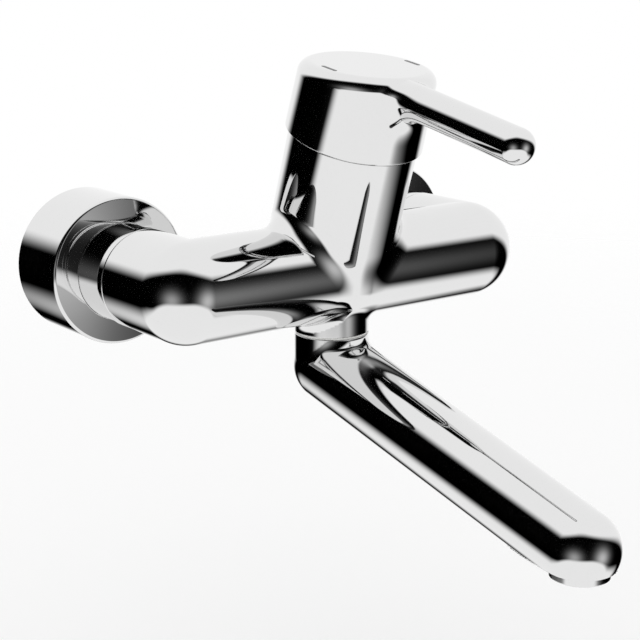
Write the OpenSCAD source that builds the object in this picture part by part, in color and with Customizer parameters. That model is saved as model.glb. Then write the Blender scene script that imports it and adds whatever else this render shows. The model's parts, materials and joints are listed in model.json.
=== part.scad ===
// Wall-mounted single-lever mixer tap with a forward-leaning tower, rod lever and swivel spout.
// Millimetres. X is to the right facing the wall, +Y goes into the wall, +Z is up.
// The origin is midway between the two wall inlets, on the wall plane.

/* [Body] */
// Distance between the centres of the two wall inlets
inlet_spacing = 150; // [140:1:170]
// Distance from the wall to the axis of the body tube
body_reach = 85.1; // [80:0.1:100]
// Outside diameter of the body tube and its two inlet arms
body_d = 43; // [41:0.2:48]
// Height of the body axis above the wall inlets
union_offset = 8; // [2:0.5:10]
// Diameter of the water passages in the body tube
waterway_d = 16; // [12:0.5:17]
// Solid web between the hot and the cold water passage
waterway_web = 14; // [13:0.5:18]

/* [Wall roses] */
// Outside diameter of the rose
rose_d = 64; // [58:0.5:76]
// Depth of the rose from the wall to the edge of its front
rose_depth = 32.7; // [30:0.1:36]
// Slope of the rose's front towards the sleeve, degrees
rose_slope = 6; // [0:0.5:8]
// Wall of the rose
rose_wall = 1.5; // [1:0.1:2.5]
// Radius of the rose's front edge
rose_edge = 1.3; // [0.6:0.1:1.4]

/* [Wall unions] */
// Outside diameter of the wall thread
wall_thread_d = 20.96; // [16:0.02:24]
// Length of the wall thread
wall_thread_len = 16; // [12:0.5:22]
// Outside diameter of the union thread
union_thread_d = 26.4; // [25:0.1:30]
// Length of the union thread
union_thread_len = 16; // [12:0.5:18]
// Length of the offset block between the two threads
union_block_len = 14; // [10:0.5:14]
// Length of the offset block's hexagon
union_hex_len = 8.4; // [7:0.1:9]
// Overlap of the hexagon with the union thread's half of the block
union_lap = 2.8; // [2:0.1:3.4]
// Wrench size of the offset block
union_block_af = 27; // [25:0.5:30]
// Diameter of the passage in the wall thread
union_wall_bore_d = 12; // [9:0.5:14]
// Wrench size of the union nut
nut_af = 31; // [30:0.5:32]
// Length of the union nut
nut_len = 21; // [17:0.5:22]
// Thickness of the union nut's lip
nut_lip = 4; // [2:0.5:5]
// Thickness of the flat sealing washer
washer_h = 2; // [1.5:0.1:3]
// Outside diameter of the inlet nipple
nipple_d = 22; // [20:0.2:22.4]
// Diameter of the passage in the inlet nipple
nipple_bore_d = 16; // [12:0.5:17]
// Thickness of the inlet nipple's flange
nipple_flange_h = 3; // [2:0.5:4]
// Depth the inlet nipple is screwed into the body
nipple_grip = 8; // [6:0.5:10]
// Thickness of the strainer disc in the washer
strainer_h = 0.8; // [0.5:0.1:1.2]
// Diameter of a strainer hole
strainer_hole_d = 3; // [2:0.2:3.4]
// Number of strainer holes around the middle one
strainer_holes = 6; // [4:1:7]
// Distance of the outer strainer holes from the middle
strainer_ring_r = 4.6; // [4:0.1:5]
// Outside diameter of the sleeve that hides the nut
sleeve_d = 42; // [41:0.2:46]
// Wall of the sleeve
sleeve_wall = 2; // [1.2:0.1:2.2]
// Length of the sleeve
sleeve_len = 19; // [18.5:0.5:24]
// Distance from the wall to the front end of the sleeve
sleeve_end = 50.1; // [48:0.1:52]
// Length of the trim ring between the sleeve and the body
trim_ring_len = 3.9; // [2:0.1:6]

/* [Tower] */
// Outside diameter of the tower
tower_d = 54.6; // [53:0.2:60]
// Forward lean of the tower, degrees
tower_tilt = 18.55; // [10:0.05:20]
// Length of the tower along its axis, from the level of the body axis
tower_len = 62; // [60:0.5:70]
// Distance from the body axis back to the foot of the tower axis
tower_setback = 6.1; // [4:0.1:8]
// Diameter of the cartridge nut's thread
tower_thread_d = 46; // [44:0.2:47]
// Diameter of the three passages under the cartridge
port_d = 7; // [5:0.2:7.4]
// Distance of each riser passage from the middle
riser_x = 10; // [9.5:0.1:11]
// Distance of the outlet passage in front of the tower axis
outlet_forward = 3; // [2:0.2:4]

/* [Cartridge] */
// Outside diameter of the cartridge
cartridge_d = 35.8; // [35:0.1:38]
// Depth of the cartridge pocket under the ledge
cartridge_drop = 30; // [29.5:0.5:31]
// Thickness of the cartridge base
base_h = 3.5; // [3:0.1:4]
// Thickness of the fixed ceramic disc
fixed_disc_h = 3; // [2.5:0.1:3.2]
// Thickness of the moving ceramic disc
moving_disc_h = 3; // [2.5:0.1:3.2]
// Diameter of the moving ceramic disc
moving_disc_d = 20; // [18:0.5:21]
// Diameter of the mixing pocket under the moving disc
disc_pocket_d = 13; // [11:0.5:15]
// Thickness of the carrier plate on the moving disc
carrier_h = 4.5; // [4:0.1:4.6]
// Wall of the cartridge shell around the discs
shell_wall = 1.9; // [1.4:0.1:2]
// Thickness of the cartridge shell's clamping flange
shell_flange_h = 2; // [1.5:0.1:3]
// Diameter of the cartridge shell's clamping flange
shell_flange_d = 40; // [38:0.5:42]
// Outside diameter of the cartridge shell's neck
shell_neck_d = 28.6; // [28.2:0.1:30]
// Diameter of the cartridge rotor
rotor_d = 26; // [25:0.1:26]
// Diameter of the rotor's retaining flange
rotor_flange_d = 31; // [29:0.2:31.4]
// Thickness of the rotor's retaining flange
rotor_flange_h = 2.2; // [1.8:0.1:2.6]
// Front end of the rotor slot, from its axis
slot_front = 10.5; // [10.4:0.1:11]
// Back end of the rotor slot, from its axis
slot_back = 8.5; // [8.4:0.1:9.5]
// Depth of the lever pivot under the top of the tower
pivot_depth = 9.5; // [9:0.1:10]
// Diameter of the pivot pin
pivot_pin_d = 3; // [2.5:0.1:3.4]
// Length of the pivot pin
pivot_pin_len = 22; // [18:0.5:24]
// Distance from the pivot down to the ball that drives the disc
finger_len = 14; // [13.5:0.1:14.2]
// Diameter of the driving ball
finger_ball_d = 4.8; // [4:0.1:5]
// Height of the carrier's guide block over the ball's centre
guide_over = 1.4; // [1:0.1:1.5]
// Diameter of the finger above the ball
finger_d = 3.2; // [2.6:0.1:3.4]
// Travel of the moving disc over the full lift of the lever
disc_travel = 5.9; // [5:0.1:6]
// Length of the carrier's guide block
guide_len = 8.4; // [8:0.1:8.6]
// Height of the cartridge nut
cartridge_nut_h = 8; // [7:0.5:9]
// Depth of the cartridge nut under the top of the tower
cartridge_nut_recess = 1.5; // [1:0.1:2]
// Width of a key slot in the cartridge nut
key_slot_w = 4; // [3:0.5:5]
// Depth of a key slot in the cartridge nut
key_slot_h = 2; // [1:0.5:3]
// Thickness of the temperature stop ring
stop_ring_h = 2; // [1.5:0.1:2.2]
// Outside diameter of the temperature stop ring
stop_ring_d = 37; // [35:0.5:38]
// Height of a stop lug on the ring
stop_lug_h = 1.5; // [1:0.1:1.6]
// Width of a stop lug on the ring
stop_lug_w = 4; // [3:0.5:6]
// Length of a stop lug on the ring
stop_lug_len = 3; // [2:0.1:3.2]
// Angle of each stop lug from straight back, degrees
stop_lug_angle = 60; // [50:1:75]
// Outside radius of the dome that covers the cartridge nut
dome_r = 24; // [23.6:0.1:25]
// Wall of the dome
dome_wall = 1; // [0.8:0.1:1.2]
// Diameter of the opening in the dome
dome_opening_d = 35.4; // [35:0.2:37]
// Ring diameter of the seals in the cartridge base
seal_d = 9.6; // [9:0.1:9.8]
// Thickness of the seals in the cartridge base
seal_h = 1; // [0.8:0.1:1.5]

/* [Lever] */
// Diameter of the cap near its lower rim
cap_d = 58.2; // [57.6:0.2:64]
// Diameter of the cap at its top
cap_top_d = 56.7; // [55:0.1:58]
// Height of the wider hollow in the cap's lower rim
cap_rim_h = 3.5; // [2.5:0.1:5]
// Bevel of the cap's lower edge
cap_bevel = 0.7; // [0.3:0.1:0.9]
// Height of the cap on the tower axis
cap_h = 31.6; // [30:0.1:38]
// Slant of the cap's top, degrees
cap_slant = 9.74; // [0:0.02:12]
// Radius of the cap's top edge
cap_edge = 5.3; // [3:0.1:7]
// Slit between the tower and the cap
cap_slit = 0.5; // [0.4:0.1:1]
// Clearance between the tower and the inside of the cap's rim
cap_clear = 0.3; // [0.3:0.05:0.4]
// Wall of the cap above its rim
cap_wall = 1.9; // [1.5:0.1:3]
// Height of the hollow in the cap
cap_hollow_h = 22; // [20:0.5:24]
// Diameter of the boss that holds the stem
boss_d = 18; // [15:0.5:18.4]
// Height of the boss above the lower rim of the cap
boss_rise = 8; // [7.5:0.1:10]
// Side of the square lever stem
stem_w = 8; // [7:0.1:8]
// Height of the stem in the cap, above the lower rim
stem_rise = 20; // [18:0.5:21]
// Length of the stem under the pivot
stem_below = 7.5; // [6:0.5:8]
// Diameter of the lever rod
lever_d = 14.3; // [12:0.1:16]
// Length of the lever rod, from the tower axis to its tip
lever_len = 97.2; // [70:0.2:160]
// Height of the lever rod on the tower axis, above the lower rim of the cap
lever_rise = 24.7; // [22:0.1:26]
// Upward angle of the lever rod from square to the tower, degrees
lever_angle = 7.42; // [0:0.02:12]
// Diameter of the handle's grub screw
grub_d = 5; // [4:0.5:6]
// Height of the grub screw above the lower rim of the cap
grub_rise = 13.5; // [12:0.5:15]
// Diameter of the plug over the grub screw
plug_d = 6; // [5.5:0.1:7]
// Depth of the plug under the cap's surface
plug_recess = 0.4; // [0.2:0.1:0.6]
// Length of a colour mark on the cap
mark_len = 9.4; // [6:0.1:12]
// Width of a colour mark on the cap
mark_w = 2; // [1.2:0.1:2.4]
// Depth of a colour mark
mark_h = 0.6; // [0.4:0.1:1]
// Sideways distance of each colour mark from the tower axis
mark_x = 21.6; // [16:0.1:21.8]
// Distance of each colour mark in front of the tower axis
mark_forward = 1.2; // [0:0.1:4]

/* [Spout] */
// Diameter of the neck under the body
neck_d = 32.4; // [31:0.2:36]
// Length of the neck under the body tube
neck_len = 5.5; // [5:0.1:12]
// Distance from the body axis back to the neck axis
neck_setback = 1.3; // [0:0.1:3]
// Diameter of the swivel spigot
spigot_d = 24.86; // [23:0.02:25.4]
// Diameter of the passage in the swivel spigot
spigot_bore_d = 19; // [16:0.5:19.4]
// Depth of the swivel spigot in the body
spigot_up = 15.5; // [15.2:0.1:15.9]
// Depth of the swivel spigot in the spout
spigot_down = 10; // [7:0.5:12]
// Thickness of the slide ring between the neck and the spout
slide_ring_h = 0.8; // [0.5:0.1:1.5]
// Thickness of a spigot seal
o_ring_d = 1.8; // [1.4:0.1:1.9]
// Depth of the spigot seal grooves
groove_depth = 1.8; // [1.8:0.05:1.95]
// Distance of the upper spigot seal from the spigot's top
o_ring_top = 3; // [2.5:0.1:3.2]
// Distance between the two spigot seals
o_ring_pitch = 3.4; // [3:0.1:3.6]
// Height of the retaining groove's middle above the end of the neck
keep_rise = 3.2; // [3:0.1:3.6]
// Width of the retaining groove in the spigot
keep_groove_w = 3.4; // [3:0.1:3.6]
// Diameter of the retaining screw in the neck
neck_screw_d = 4; // [3:0.5:4]
// Diameter of the retaining screw's tip
neck_screw_tip_d = 2.6; // [2:0.1:2.6]
// Drop of the spout's axis under the end of the neck
spout_drop = 15.7; // [14:0.1:22]
// Diameter of the spout at its root
spout_root_d = 33.3; // [30:0.1:36]
// Diameter of the spout at its tip
spout_tip_d = 30.7; // [28:0.1:32]
// Length of the spout between its root and tip centres
spout_len = 156; // [100:1:300]
// Downward slope of the spout, degrees
spout_slope = 13.73; // [0:0.01:16]
// Diameter of the passage in the spout
spout_bore_d = 17; // [14:0.5:18]
// Diameter of the round chamber over the aerator
tip_chamber_d = 19; // [18.5:0.1:19.6]
// Depth of the flat under the spout's tip, below its centre
tip_flat = 8.2; // [7.6:0.1:9]
// Outside diameter of the aerator's lower ring
aerator_d = 23.2; // [22:0.1:25]
// Height of the aerator's lower ring
aerator_ring_h = 2.4; // [2:0.1:5]
// Outside diameter of the aerator thread
aerator_thread_d = 20.9; // [20.5:0.1:21.6]
// Length of the aerator thread
aerator_thread_len = 5.4; // [4:0.1:5.6]
// Wall of the aerator housing
aerator_wall = 1.5; // [1:0.1:1.8]
// Thickness of the aerator washer
aerator_washer_h = 1.8; // [1.2:0.1:2]
// Recess of the aerator insert in its housing
insert_recess = 0.6; // [0.3:0.1:1]
// Number of ring grooves under the aerator insert
jet_rings = 3; // [2:1:3]
// Spacing of the ring grooves under the aerator insert
jet_pitch = 2.2; // [1.6:0.1:2.6]
// Width and depth of a ring groove under the aerator insert
jet_w = 1; // [0.5:0.1:1.2]

/* [Fits] */
// Radial clearance of a turning fit
turn_fit = 0.06; // [0.03:0.01:0.09]
// Radial clearance of a slip or screwed fit
slip_fit = 0.05; // [0.02:0.01:0.1]
// Clearance of parts that slide past each other
slide_clear = 0.3; // [0.3:0.05:0.4]
// Film between the two ceramic discs
disc_film = 0.05; // [0.03:0.01:0.08]

/* [Hidden] */
$fn = 96;
// Overrun of a cut past the face it opens.
cut = 1;
// Distances from the wall along an inlet axis.
thread_end = union_block_len + union_thread_len;
flange_at = thread_end + washer_h;
lip_at = flange_at + nipple_flange_h;
inlet_face = sleeve_end + trim_ring_len;
nipple_end = inlet_face + nipple_grip;
nut_end = lip_at + nut_lip;
// Heights along the tower axis.
nut_top = tower_len - cartridge_nut_recess;
nut_bottom = nut_top - cartridge_nut_h;
ledge = nut_bottom - shell_flange_h;
seat = ledge - cartridge_drop;
base_top = seat + base_h;
fixed_top = base_top + fixed_disc_h;
moving_bottom = fixed_top + disc_film;
carrier_bottom = moving_bottom + moving_disc_h;
carrier_top = carrier_bottom + carrier_h;
rotor_bottom = carrier_top + slide_clear;
shell_shoulder = rotor_bottom + rotor_flange_h + turn_fit;
pivot = tower_len - pivot_depth;
ball_at = pivot - finger_len;
guide_top = ball_at + guide_over;
shell_top = nut_top + stop_ring_h;
rotor_top = nut_top - turn_fit;
cap_bottom = tower_len + cap_slit;
cap_top = cap_bottom + cap_h;
stem_top = cap_bottom + stem_rise;
// Radii shared by neighbouring pieces.
pocket_r = cartridge_d / 2 + slip_fit;
chamber_r = cartridge_d / 2 - shell_wall;
rotor_bore_r = rotor_d / 2 + turn_fit;
socket_r = spigot_d / 2 + turn_fit;
slot_w = stem_w + 2 * slide_clear;
cap_hollow_r = tower_d / 2 + cap_clear;
grip_r = aerator_thread_d / 2 + slip_fit;
housing_bore_r = aerator_thread_d / 2 - aerator_wall;
// Heights under the body axis, along the neck axis.
neck_end = -body_d / 2 - neck_len;
socket_top = neck_end + spigot_up + slide_clear;
spigot_top = neck_end + spigot_up;
spout_top = neck_end - slide_ring_h - turn_fit;
spigot_end = spout_top - spigot_down;
spout_axis = neck_end - spout_drop;
// Back plane of the tower, level with the back of the body tube.
tower_back = -body_reach + body_d / 2;
// Inside radius of the dome's foot, at the height where the foot begins.
dome_foot_r = sqrt(pow(dome_r - dome_wall, 2) - pow(nut_top - pivot, 2));
// Radius of the slanted top, a little over that of the cap.
cap_face_r = cap_top_d / 2 / cos(cap_slant / 2);
// Half angle of the spout's taper.
spout_taper = asin((spout_root_d - spout_tip_d) / 2 / spout_len);
// Height of the shoulder that the aerator's washer meets.
aerator_seat = -tip_flat + aerator_thread_len + aerator_washer_h;
// Height of the aerator insert's lower face.
insert_bottom = -tip_flat - aerator_ring_h + insert_recess;
// Larger than the whole tap, for half-space cuts.
far = 400;

hot = -1;
cold = 1;

// Frame of one inlet: Z runs from the wall to the front on the mixer's inlet axis.
module inlet(side) {
  translate([side * inlet_spacing / 2, 0, union_offset])
    rotate([90, 0, 0])
      children();
}

// Frame of the tower: Z runs up its axis and -Y points to the front.
module tower() {
  translate([0, tower_setback - body_reach, union_offset])
    rotate([tower_tilt, 0, 0])
      children();
}

// Frame of the neck: Z is up, counted from the body axis.
module neck() {
  translate([0, neck_setback - body_reach, union_offset])
    children();
}

// Frame of the spout: Z runs from the root to the tip.
module spout_line() {
  neck()
    translate([0, 0, spout_axis])
      rotate([90 + spout_slope, 0, 0])
        children();
}

// Frame of the aerator: Z is up, counted from the centre of the spout's tip.
module aerator() {
  spout_line()
    translate([0, 0, spout_len])
      rotate([-90 - spout_slope, 0, 0])
        children();
}

// Frame of the cap's slanted top: Z points out of it on the tower axis.
module cap_face() {
  tower()
    translate([0, 0, cap_top])
      rotate([-cap_slant, 0, 0])
        children();
}

// Cylinder between two heights.
module rod(r, from, to) {
  translate([0, 0, from])
    cylinder(r = r, h = to - from);
}

// Hollow cylinder between two heights.
module ring(r, hole_r, from, to) {
  difference() {
    rod(r, from, to);
    rod(hole_r, from - cut, to + cut);
  }
}

// Hexagon across the given flats between two heights.
module hex(across, from, to) {
  translate([0, 0, from])
    cylinder(r = across / 2 / cos(30), h = to - from, $fn = 6);
}

// Torus around Z at a height.
module o_ring(r, thick, at) {
  translate([0, 0, at])
    rotate_extrude()
      translate([r, 0])
        circle(d = thick);
}

// Cast body: tube, elbows, inlet arms, tower and neck with their passages.
module mixer_body() {
  color("silver")
    difference() {
      union() {
        for (side = [hot, cold]) {
          inlet(side)
            rod(body_d / 2, inlet_face, body_reach);
          inlet(side)
            translate([0, 0, body_reach])
              sphere(d = body_d);
        }
        translate([-inlet_spacing / 2, -body_reach, union_offset])
          rotate([0, 90, 0])
            cylinder(d = body_d, h = inlet_spacing);
        intersection() {
          tower()
            rod(tower_d / 2, 0, tower_len);
          translate([-far / 2, tower_back - far, -far / 2])
            cube(far);
        }
        neck()
          rod(neck_d / 2, neck_end, 0);
      }
      body_passages();
      tower()
        rod(pocket_r, seat, ledge + cut);
      tower()
        rod(tower_thread_d / 2, ledge, tower_len + cut);
      neck()
        rod(socket_r, neck_end - cut, socket_top);
      neck_screw_frame()
        rod(neck_screw_d / 2 + slip_fit, 0, neck_d);
    }
}

// Water passages in the body, from the inlets to the cartridge and on to the neck.
module body_passages() {
  for (side = [hot, cold]) {
    inlet(side)
      rod(nipple_d / 2 + slip_fit, inlet_face - cut, nipple_end);
    inlet(side)
      rod(waterway_d / 2, inlet_face, body_reach);
    inlet(side)
      translate([0, 0, body_reach])
        sphere(d = waterway_d);
    translate([side * waterway_web / 2, -body_reach, union_offset])
      rotate([0, side * 90, 0])
        cylinder(d = waterway_d, h = (inlet_spacing - waterway_web) / 2);
    tower()
      translate([side * riser_x, 0, 0])
        rod(port_d / 2, 0, seat + cut);
  }
  intersection() {
    tower()
      translate([0, -outlet_forward, 0])
        rod(port_d / 2, -body_d, seat + cut);
    neck()
      rod(far, socket_top - cut, far);
  }
}

// Frame of the retaining screw: Z runs from the neck axis to the back.
module neck_screw_frame() {
  neck()
    translate([0, 0, neck_end + keep_rise])
      rotate([-90, 0, 0])
        children();
}

// Wall rose: deep cup with a hole for the sleeve.
module rose(side) {
  color("silver")
    inlet(side)
      difference() {
        rotate_extrude() {
          square([rose_d / 2, rose_depth - rose_edge]);
          polygon([
            [0, 0],
            [rose_d / 2 - rose_edge, 0],
            [rose_d / 2 - rose_edge, rose_depth],
            [0, rose_depth + (rose_d / 2 - rose_edge) * tan(rose_slope)]
          ]);
          translate([rose_d / 2 - rose_edge, rose_depth - rose_edge])
            circle(r = rose_edge);
        }
        rod(rose_d / 2 - rose_wall, -cut, rose_depth - rose_wall);
        rod(sleeve_d / 2 + slip_fit, 0, rose_depth + rose_d / 2);
      }
}

// Offset union: wall thread, hexagon block and union thread on the mixer's inlet axis.
module s_union(side) {
  color("goldenrod")
    inlet(side)
      difference() {
        union() {
          translate([0, -union_offset, 0])
            rod(wall_thread_d / 2, -wall_thread_len, cut);
          translate([0, -union_offset, 0])
            hex(union_block_af, 0, union_hex_len);
          rod(union_thread_d / 2, union_hex_len - union_lap, thread_end);
        }
        translate([0, -union_offset, 0])
          rod(union_wall_bore_d / 2, -wall_thread_len - cut, union_hex_len - union_lap / 2);
        rod(nipple_bore_d / 2, union_hex_len - union_lap, thread_end + cut);
      }
}

// Union nut that pulls the nipple's flange onto the washer.
module union_nut(side) {
  color("goldenrod")
    inlet(side)
      difference() {
        hex(nut_af, nut_end - nut_len, nut_end);
        rod(union_thread_d / 2 + slip_fit, nut_end - nut_len - cut, lip_at);
        rod(nipple_d / 2 + slip_fit, lip_at - cut, nut_end + cut);
      }
}

// Flat washer between the union and the nipple's flange.
module union_washer(side) {
  color("dimgray")
    inlet(side)
      ring(union_thread_d / 2 - slip_fit, nipple_bore_d / 2, thread_end, flange_at);
}

// Strainer disc held in the washer.
module strainer(side) {
  color("lightgray")
    inlet(side)
      difference() {
        rod(nipple_bore_d / 2, thread_end, thread_end + strainer_h);
        rod(strainer_hole_d / 2, thread_end - cut, flange_at);
        for (i = [1 : strainer_holes])
          rotate([0, 0, i * 360 / strainer_holes])
            translate([strainer_ring_r, 0, 0])
              rod(strainer_hole_d / 2, thread_end - cut, flange_at);
      }
}

// Nipple screwed into the body, with the flange that the nut pulls on.
module inlet_nipple(side) {
  color("goldenrod")
    inlet(side)
      difference() {
        union() {
          rod(nipple_d / 2, flange_at, nipple_end);
          rod(union_thread_d / 2 - slip_fit, flange_at, lip_at);
        }
        rod(nipple_bore_d / 2, flange_at - cut, nipple_end + cut);
      }
}

// Sleeve that hides the union nut and passes into the rose.
module nut_sleeve(side) {
  color("silver")
    inlet(side)
      difference() {
        rod(sleeve_d / 2, sleeve_end - sleeve_len, sleeve_end);
        rod(sleeve_d / 2 - sleeve_wall, sleeve_end - sleeve_len - cut, sleeve_end - sleeve_wall);
        rod(nipple_d / 2 + slip_fit, 0, sleeve_end + cut);
      }
}

// Trim ring between the sleeve and the body's inlet arm.
module trim_ring(side) {
  color("silver")
    inlet(side)
      ring(body_d / 2, nipple_d / 2 + slip_fit, sleeve_end, inlet_face);
}

// Base of the cartridge with its three ports and seal recesses.
module cartridge_base() {
  color("dimgray")
    tower()
      difference() {
        rod(cartridge_d / 2, seat, base_top);
        cartridge_ports(seat - cut, base_top + cut);
        at_ports()
          rod(seal_d / 2, seat - cut, seat + seal_h);
      }
}

// Places of the hot, cold and outlet ports.
module at_ports() {
  for (side = [hot, cold])
    translate([side * riser_x, 0, 0])
      children();
  translate([0, -outlet_forward, 0])
    children();
}

// The three ports between two heights.
module cartridge_ports(from, to) {
  at_ports()
    rod(port_d / 2, from, to);
}

// Three seal rings under the cartridge base.
module cartridge_seals() {
  color("black")
    tower()
      at_ports()
        ring(seal_d / 2, port_d / 2, seat, seat + seal_h);
}

// Ceramic disc that stays with the base.
module fixed_disc() {
  color("white")
    tower()
      difference() {
        rod(chamber_r - slip_fit, base_top, fixed_top);
        cartridge_ports(base_top - cut, fixed_top + cut);
      }
}

// Shell of the cartridge: disc chamber, clamping flange and neck.
module cartridge_shell() {
  color("whitesmoke")
    tower()
      difference() {
        union() {
          rod(cartridge_d / 2, base_top, ledge + cut);
          rod(shell_flange_d / 2, ledge, nut_bottom);
          rod(shell_neck_d / 2, nut_bottom - cut, shell_top);
        }
        rod(chamber_r, base_top - cut, shell_shoulder);
        rod(rotor_bore_r, shell_shoulder - cut, shell_top + cut);
      }
}

// Threaded nut that clamps the cartridge in the tower.
module cartridge_nut() {
  color("goldenrod")
    tower()
      difference() {
        ring(tower_thread_d / 2 - slip_fit, shell_neck_d / 2 + slip_fit, nut_bottom, nut_top);
        translate([-tower_thread_d / 2, -key_slot_w / 2, nut_top - key_slot_h])
          cube([tower_thread_d, key_slot_w, key_slot_h + cut]);
      }
}

// Ring with two lugs that limits how far the lever turns.
module stop_ring() {
  color("firebrick")
    tower() {
      ring(stop_ring_d / 2, shell_neck_d / 2 + slip_fit, nut_top, nut_top + stop_ring_h);
      for (side = [hot, cold])
        rotate([0, 0, side * stop_lug_angle])
          translate([-stop_lug_w / 2, shell_neck_d / 2 + slide_clear, nut_top + stop_ring_h])
            cube([stop_lug_w, stop_lug_len, stop_lug_h]);
    }
}

// Dome over the cartridge nut, round about the lever's pivot.
module dome_cover() {
  color("silver")
    tower() {
      ring(tower_thread_d / 2 - slip_fit, dome_foot_r, nut_top, tower_len);
      intersection() {
        translate([0, 0, pivot])
          difference() {
            sphere(r = dome_r);
            sphere(r = dome_r - dome_wall);
          }
        difference() {
          rod(dome_r, nut_top, pivot + dome_r);
          rod(dome_opening_d / 2, nut_top - cut, pivot + dome_r + cut);
        }
      }
    }
}

// Screw in the back of the neck whose tip keeps the spigot in.
module neck_screw() {
  color("gray")
    neck_screw_frame() {
      rod(neck_screw_d / 2, socket_r, neck_d / 2 - slide_clear);
      rod(neck_screw_tip_d / 2, spigot_d / 2 - groove_depth + slide_clear, socket_r + cut);
    }
}

// Rotor that turns in the shell and carries the lever's pivot.
module cartridge_rotor() {
  color("dimgray")
    tower()
      difference() {
        union() {
          rod(rotor_d / 2, rotor_bottom, rotor_top);
          rod(rotor_flange_d / 2, rotor_bottom, rotor_bottom + rotor_flange_h);
        }
        translate([-slot_w / 2, -slot_front, rotor_bottom - cut])
          cube([slot_w, slot_front + slot_back, rotor_top - rotor_bottom + 2 * cut]);
        pivot_frame()
          rod(pivot_pin_d / 2, -pivot_pin_len / 2, pivot_pin_len / 2);
      }
}

// Frame of the pivot inside the tower frame: Z runs to the right.
module pivot_frame() {
  translate([0, 0, pivot])
    rotate([0, 90, 0])
      children();
}

// Pin through the rotor on which the lever stem tilts.
module pivot_pin() {
  color("gray")
    tower()
      pivot_frame()
        rod(pivot_pin_d / 2, -pivot_pin_len / 2, pivot_pin_len / 2);
}

// Ceramic disc that slides and turns on the fixed one.
module moving_disc() {
  color("white")
    tower()
      translate([0, disc_travel / 2, 0])
        difference() {
          rod(moving_disc_d / 2, moving_bottom, carrier_bottom);
          rod(disc_pocket_d / 2, moving_bottom - cut, moving_bottom + moving_disc_h / 2);
        }
}

// Carrier on the moving disc, guided by the rotor slot and driven by the lever's ball.
module disc_carrier() {
  color("whitesmoke")
    tower()
      difference() {
        union() {
          translate([0, disc_travel / 2, 0])
            rod(moving_disc_d / 2, carrier_bottom, carrier_top);
          translate([-stem_w / 2, -guide_len / 2, carrier_bottom])
            cube([stem_w, guide_len, guide_top - carrier_bottom]);
        }
        rod(finger_ball_d / 2 + slide_clear, ball_at - finger_ball_d, guide_top + cut);
      }
}

// Square stem on the pivot, with the finger and ball that push the disc.
module lever_stem() {
  color("goldenrod")
    tower()
      difference() {
        union() {
          translate([-stem_w / 2, -stem_w / 2, pivot - stem_below])
            cube([stem_w, stem_w, stem_top - pivot + stem_below]);
          rod(finger_d / 2, ball_at, pivot - stem_below + cut);
          translate([0, 0, ball_at])
            sphere(d = finger_ball_d);
        }
        pivot_frame()
          rod(pivot_pin_d / 2 + turn_fit, -stem_w, stem_w);
      }
}

// Cap and rod of the lever in one casting, hollow over the cartridge.
module lever_handle() {
  color("silver")
    difference() {
      union() {
        intersection() {
          tower()
            rotate_extrude()
              polygon([
                [0, cap_bottom],
                [cap_d / 2 - cap_bevel, cap_bottom],
                [cap_d / 2, cap_bottom + cap_bevel],
                [cap_top_d / 2, cap_top],
                [cap_top_d / 2, cap_top + cap_h],
                [0, cap_top + cap_h]
              ]);
          cap_face()
            rotate_extrude()
              cap_face_outline();
        }
        tower()
          lever_rod();
      }
      tower()
        difference() {
          rod(cap_hollow_r, cap_bottom - cut, cap_bottom + cap_rim_h);
          rod(boss_d / 2, cap_bottom + boss_rise, cap_top);
        }
      tower()
        difference() {
          rod(cap_top_d / 2 - cap_wall, cap_bottom, cap_bottom + cap_hollow_h);
          rod(boss_d / 2, cap_bottom + boss_rise, cap_top);
        }
      tower()
        translate([-stem_w / 2, -stem_w / 2, cap_bottom])
          cube([stem_w, stem_w, stem_rise]);
      grub_frame()
        rod(grub_d / 2, 0, boss_d);
      grub_frame()
        rod(plug_d / 2, boss_d, cap_d);
      for (side = [hot, cold])
        mark_shape(side);
    }
}

// Half outline of the slanted top: round edge, widening downwards so it clears the cap's sides.
module cap_face_outline() {
  translate([0, -cap_h])
    square([cap_face_r - cap_edge, cap_h]);
  translate([cap_face_r - cap_edge, -cap_edge])
    circle(r = cap_edge);
  polygon([
    [0, -cap_edge],
    [cap_face_r, -cap_edge],
    [cap_face_r + cap_h, -cap_edge - 2 * cap_h],
    [0, -cap_edge - 2 * cap_h]
  ]);
}

// Rod of the lever with its round tip, in the tower frame.
module lever_rod() {
  translate([0, 0, cap_bottom + lever_rise])
    rotate([90 - lever_angle, 0, 0]) {
      rod(lever_d / 2, cap_top_d / 2 - cap_edge, lever_len - lever_d / 2);
      translate([0, 0, lever_len - lever_d / 2])
        sphere(d = lever_d);
    }
}

// Frame of the grub screw: Z runs from the tower axis to the back.
module grub_frame() {
  tower()
    translate([0, 0, cap_bottom + grub_rise])
      rotate([-90, 0, 0])
        children();
}

// Grub screw that clamps the handle on the stem.
module grub_screw() {
  color("gray")
    grub_frame()
      difference() {
        rod(grub_d / 2, stem_w / 2, boss_d / 2);
        hex(grub_d / 2, boss_d / 2 - grub_d / 2, boss_d / 2 + cut);
      }
}

// Plug in the back of the cap over the grub screw.
module grub_plug() {
  color("gainsboro")
    grub_frame()
      rod(plug_d / 2, cap_top_d / 2 - cap_wall, cap_top_d / 2 - plug_recess);
}

// Oblong inlay in the cap's top, on one side.
module mark_shape(side) {
  cap_face()
    translate([side * mark_x, -mark_forward, -mark_h]) {
      for (end = [-1, 1])
        translate([0, end * (mark_len - mark_w) / 2, 0])
          cylinder(d = mark_w, h = mark_h);
      translate([-mark_w / 2, -(mark_len - mark_w) / 2, 0])
        cube([mark_w, mark_len - mark_w, mark_h]);
    }
}

// Mark for hot water.
module hot_mark() {
  color("firebrick")
    mark_shape(hot);
}

// Mark for cold water.
module cold_mark() {
  color("navy")
    mark_shape(cold);
}

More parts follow.
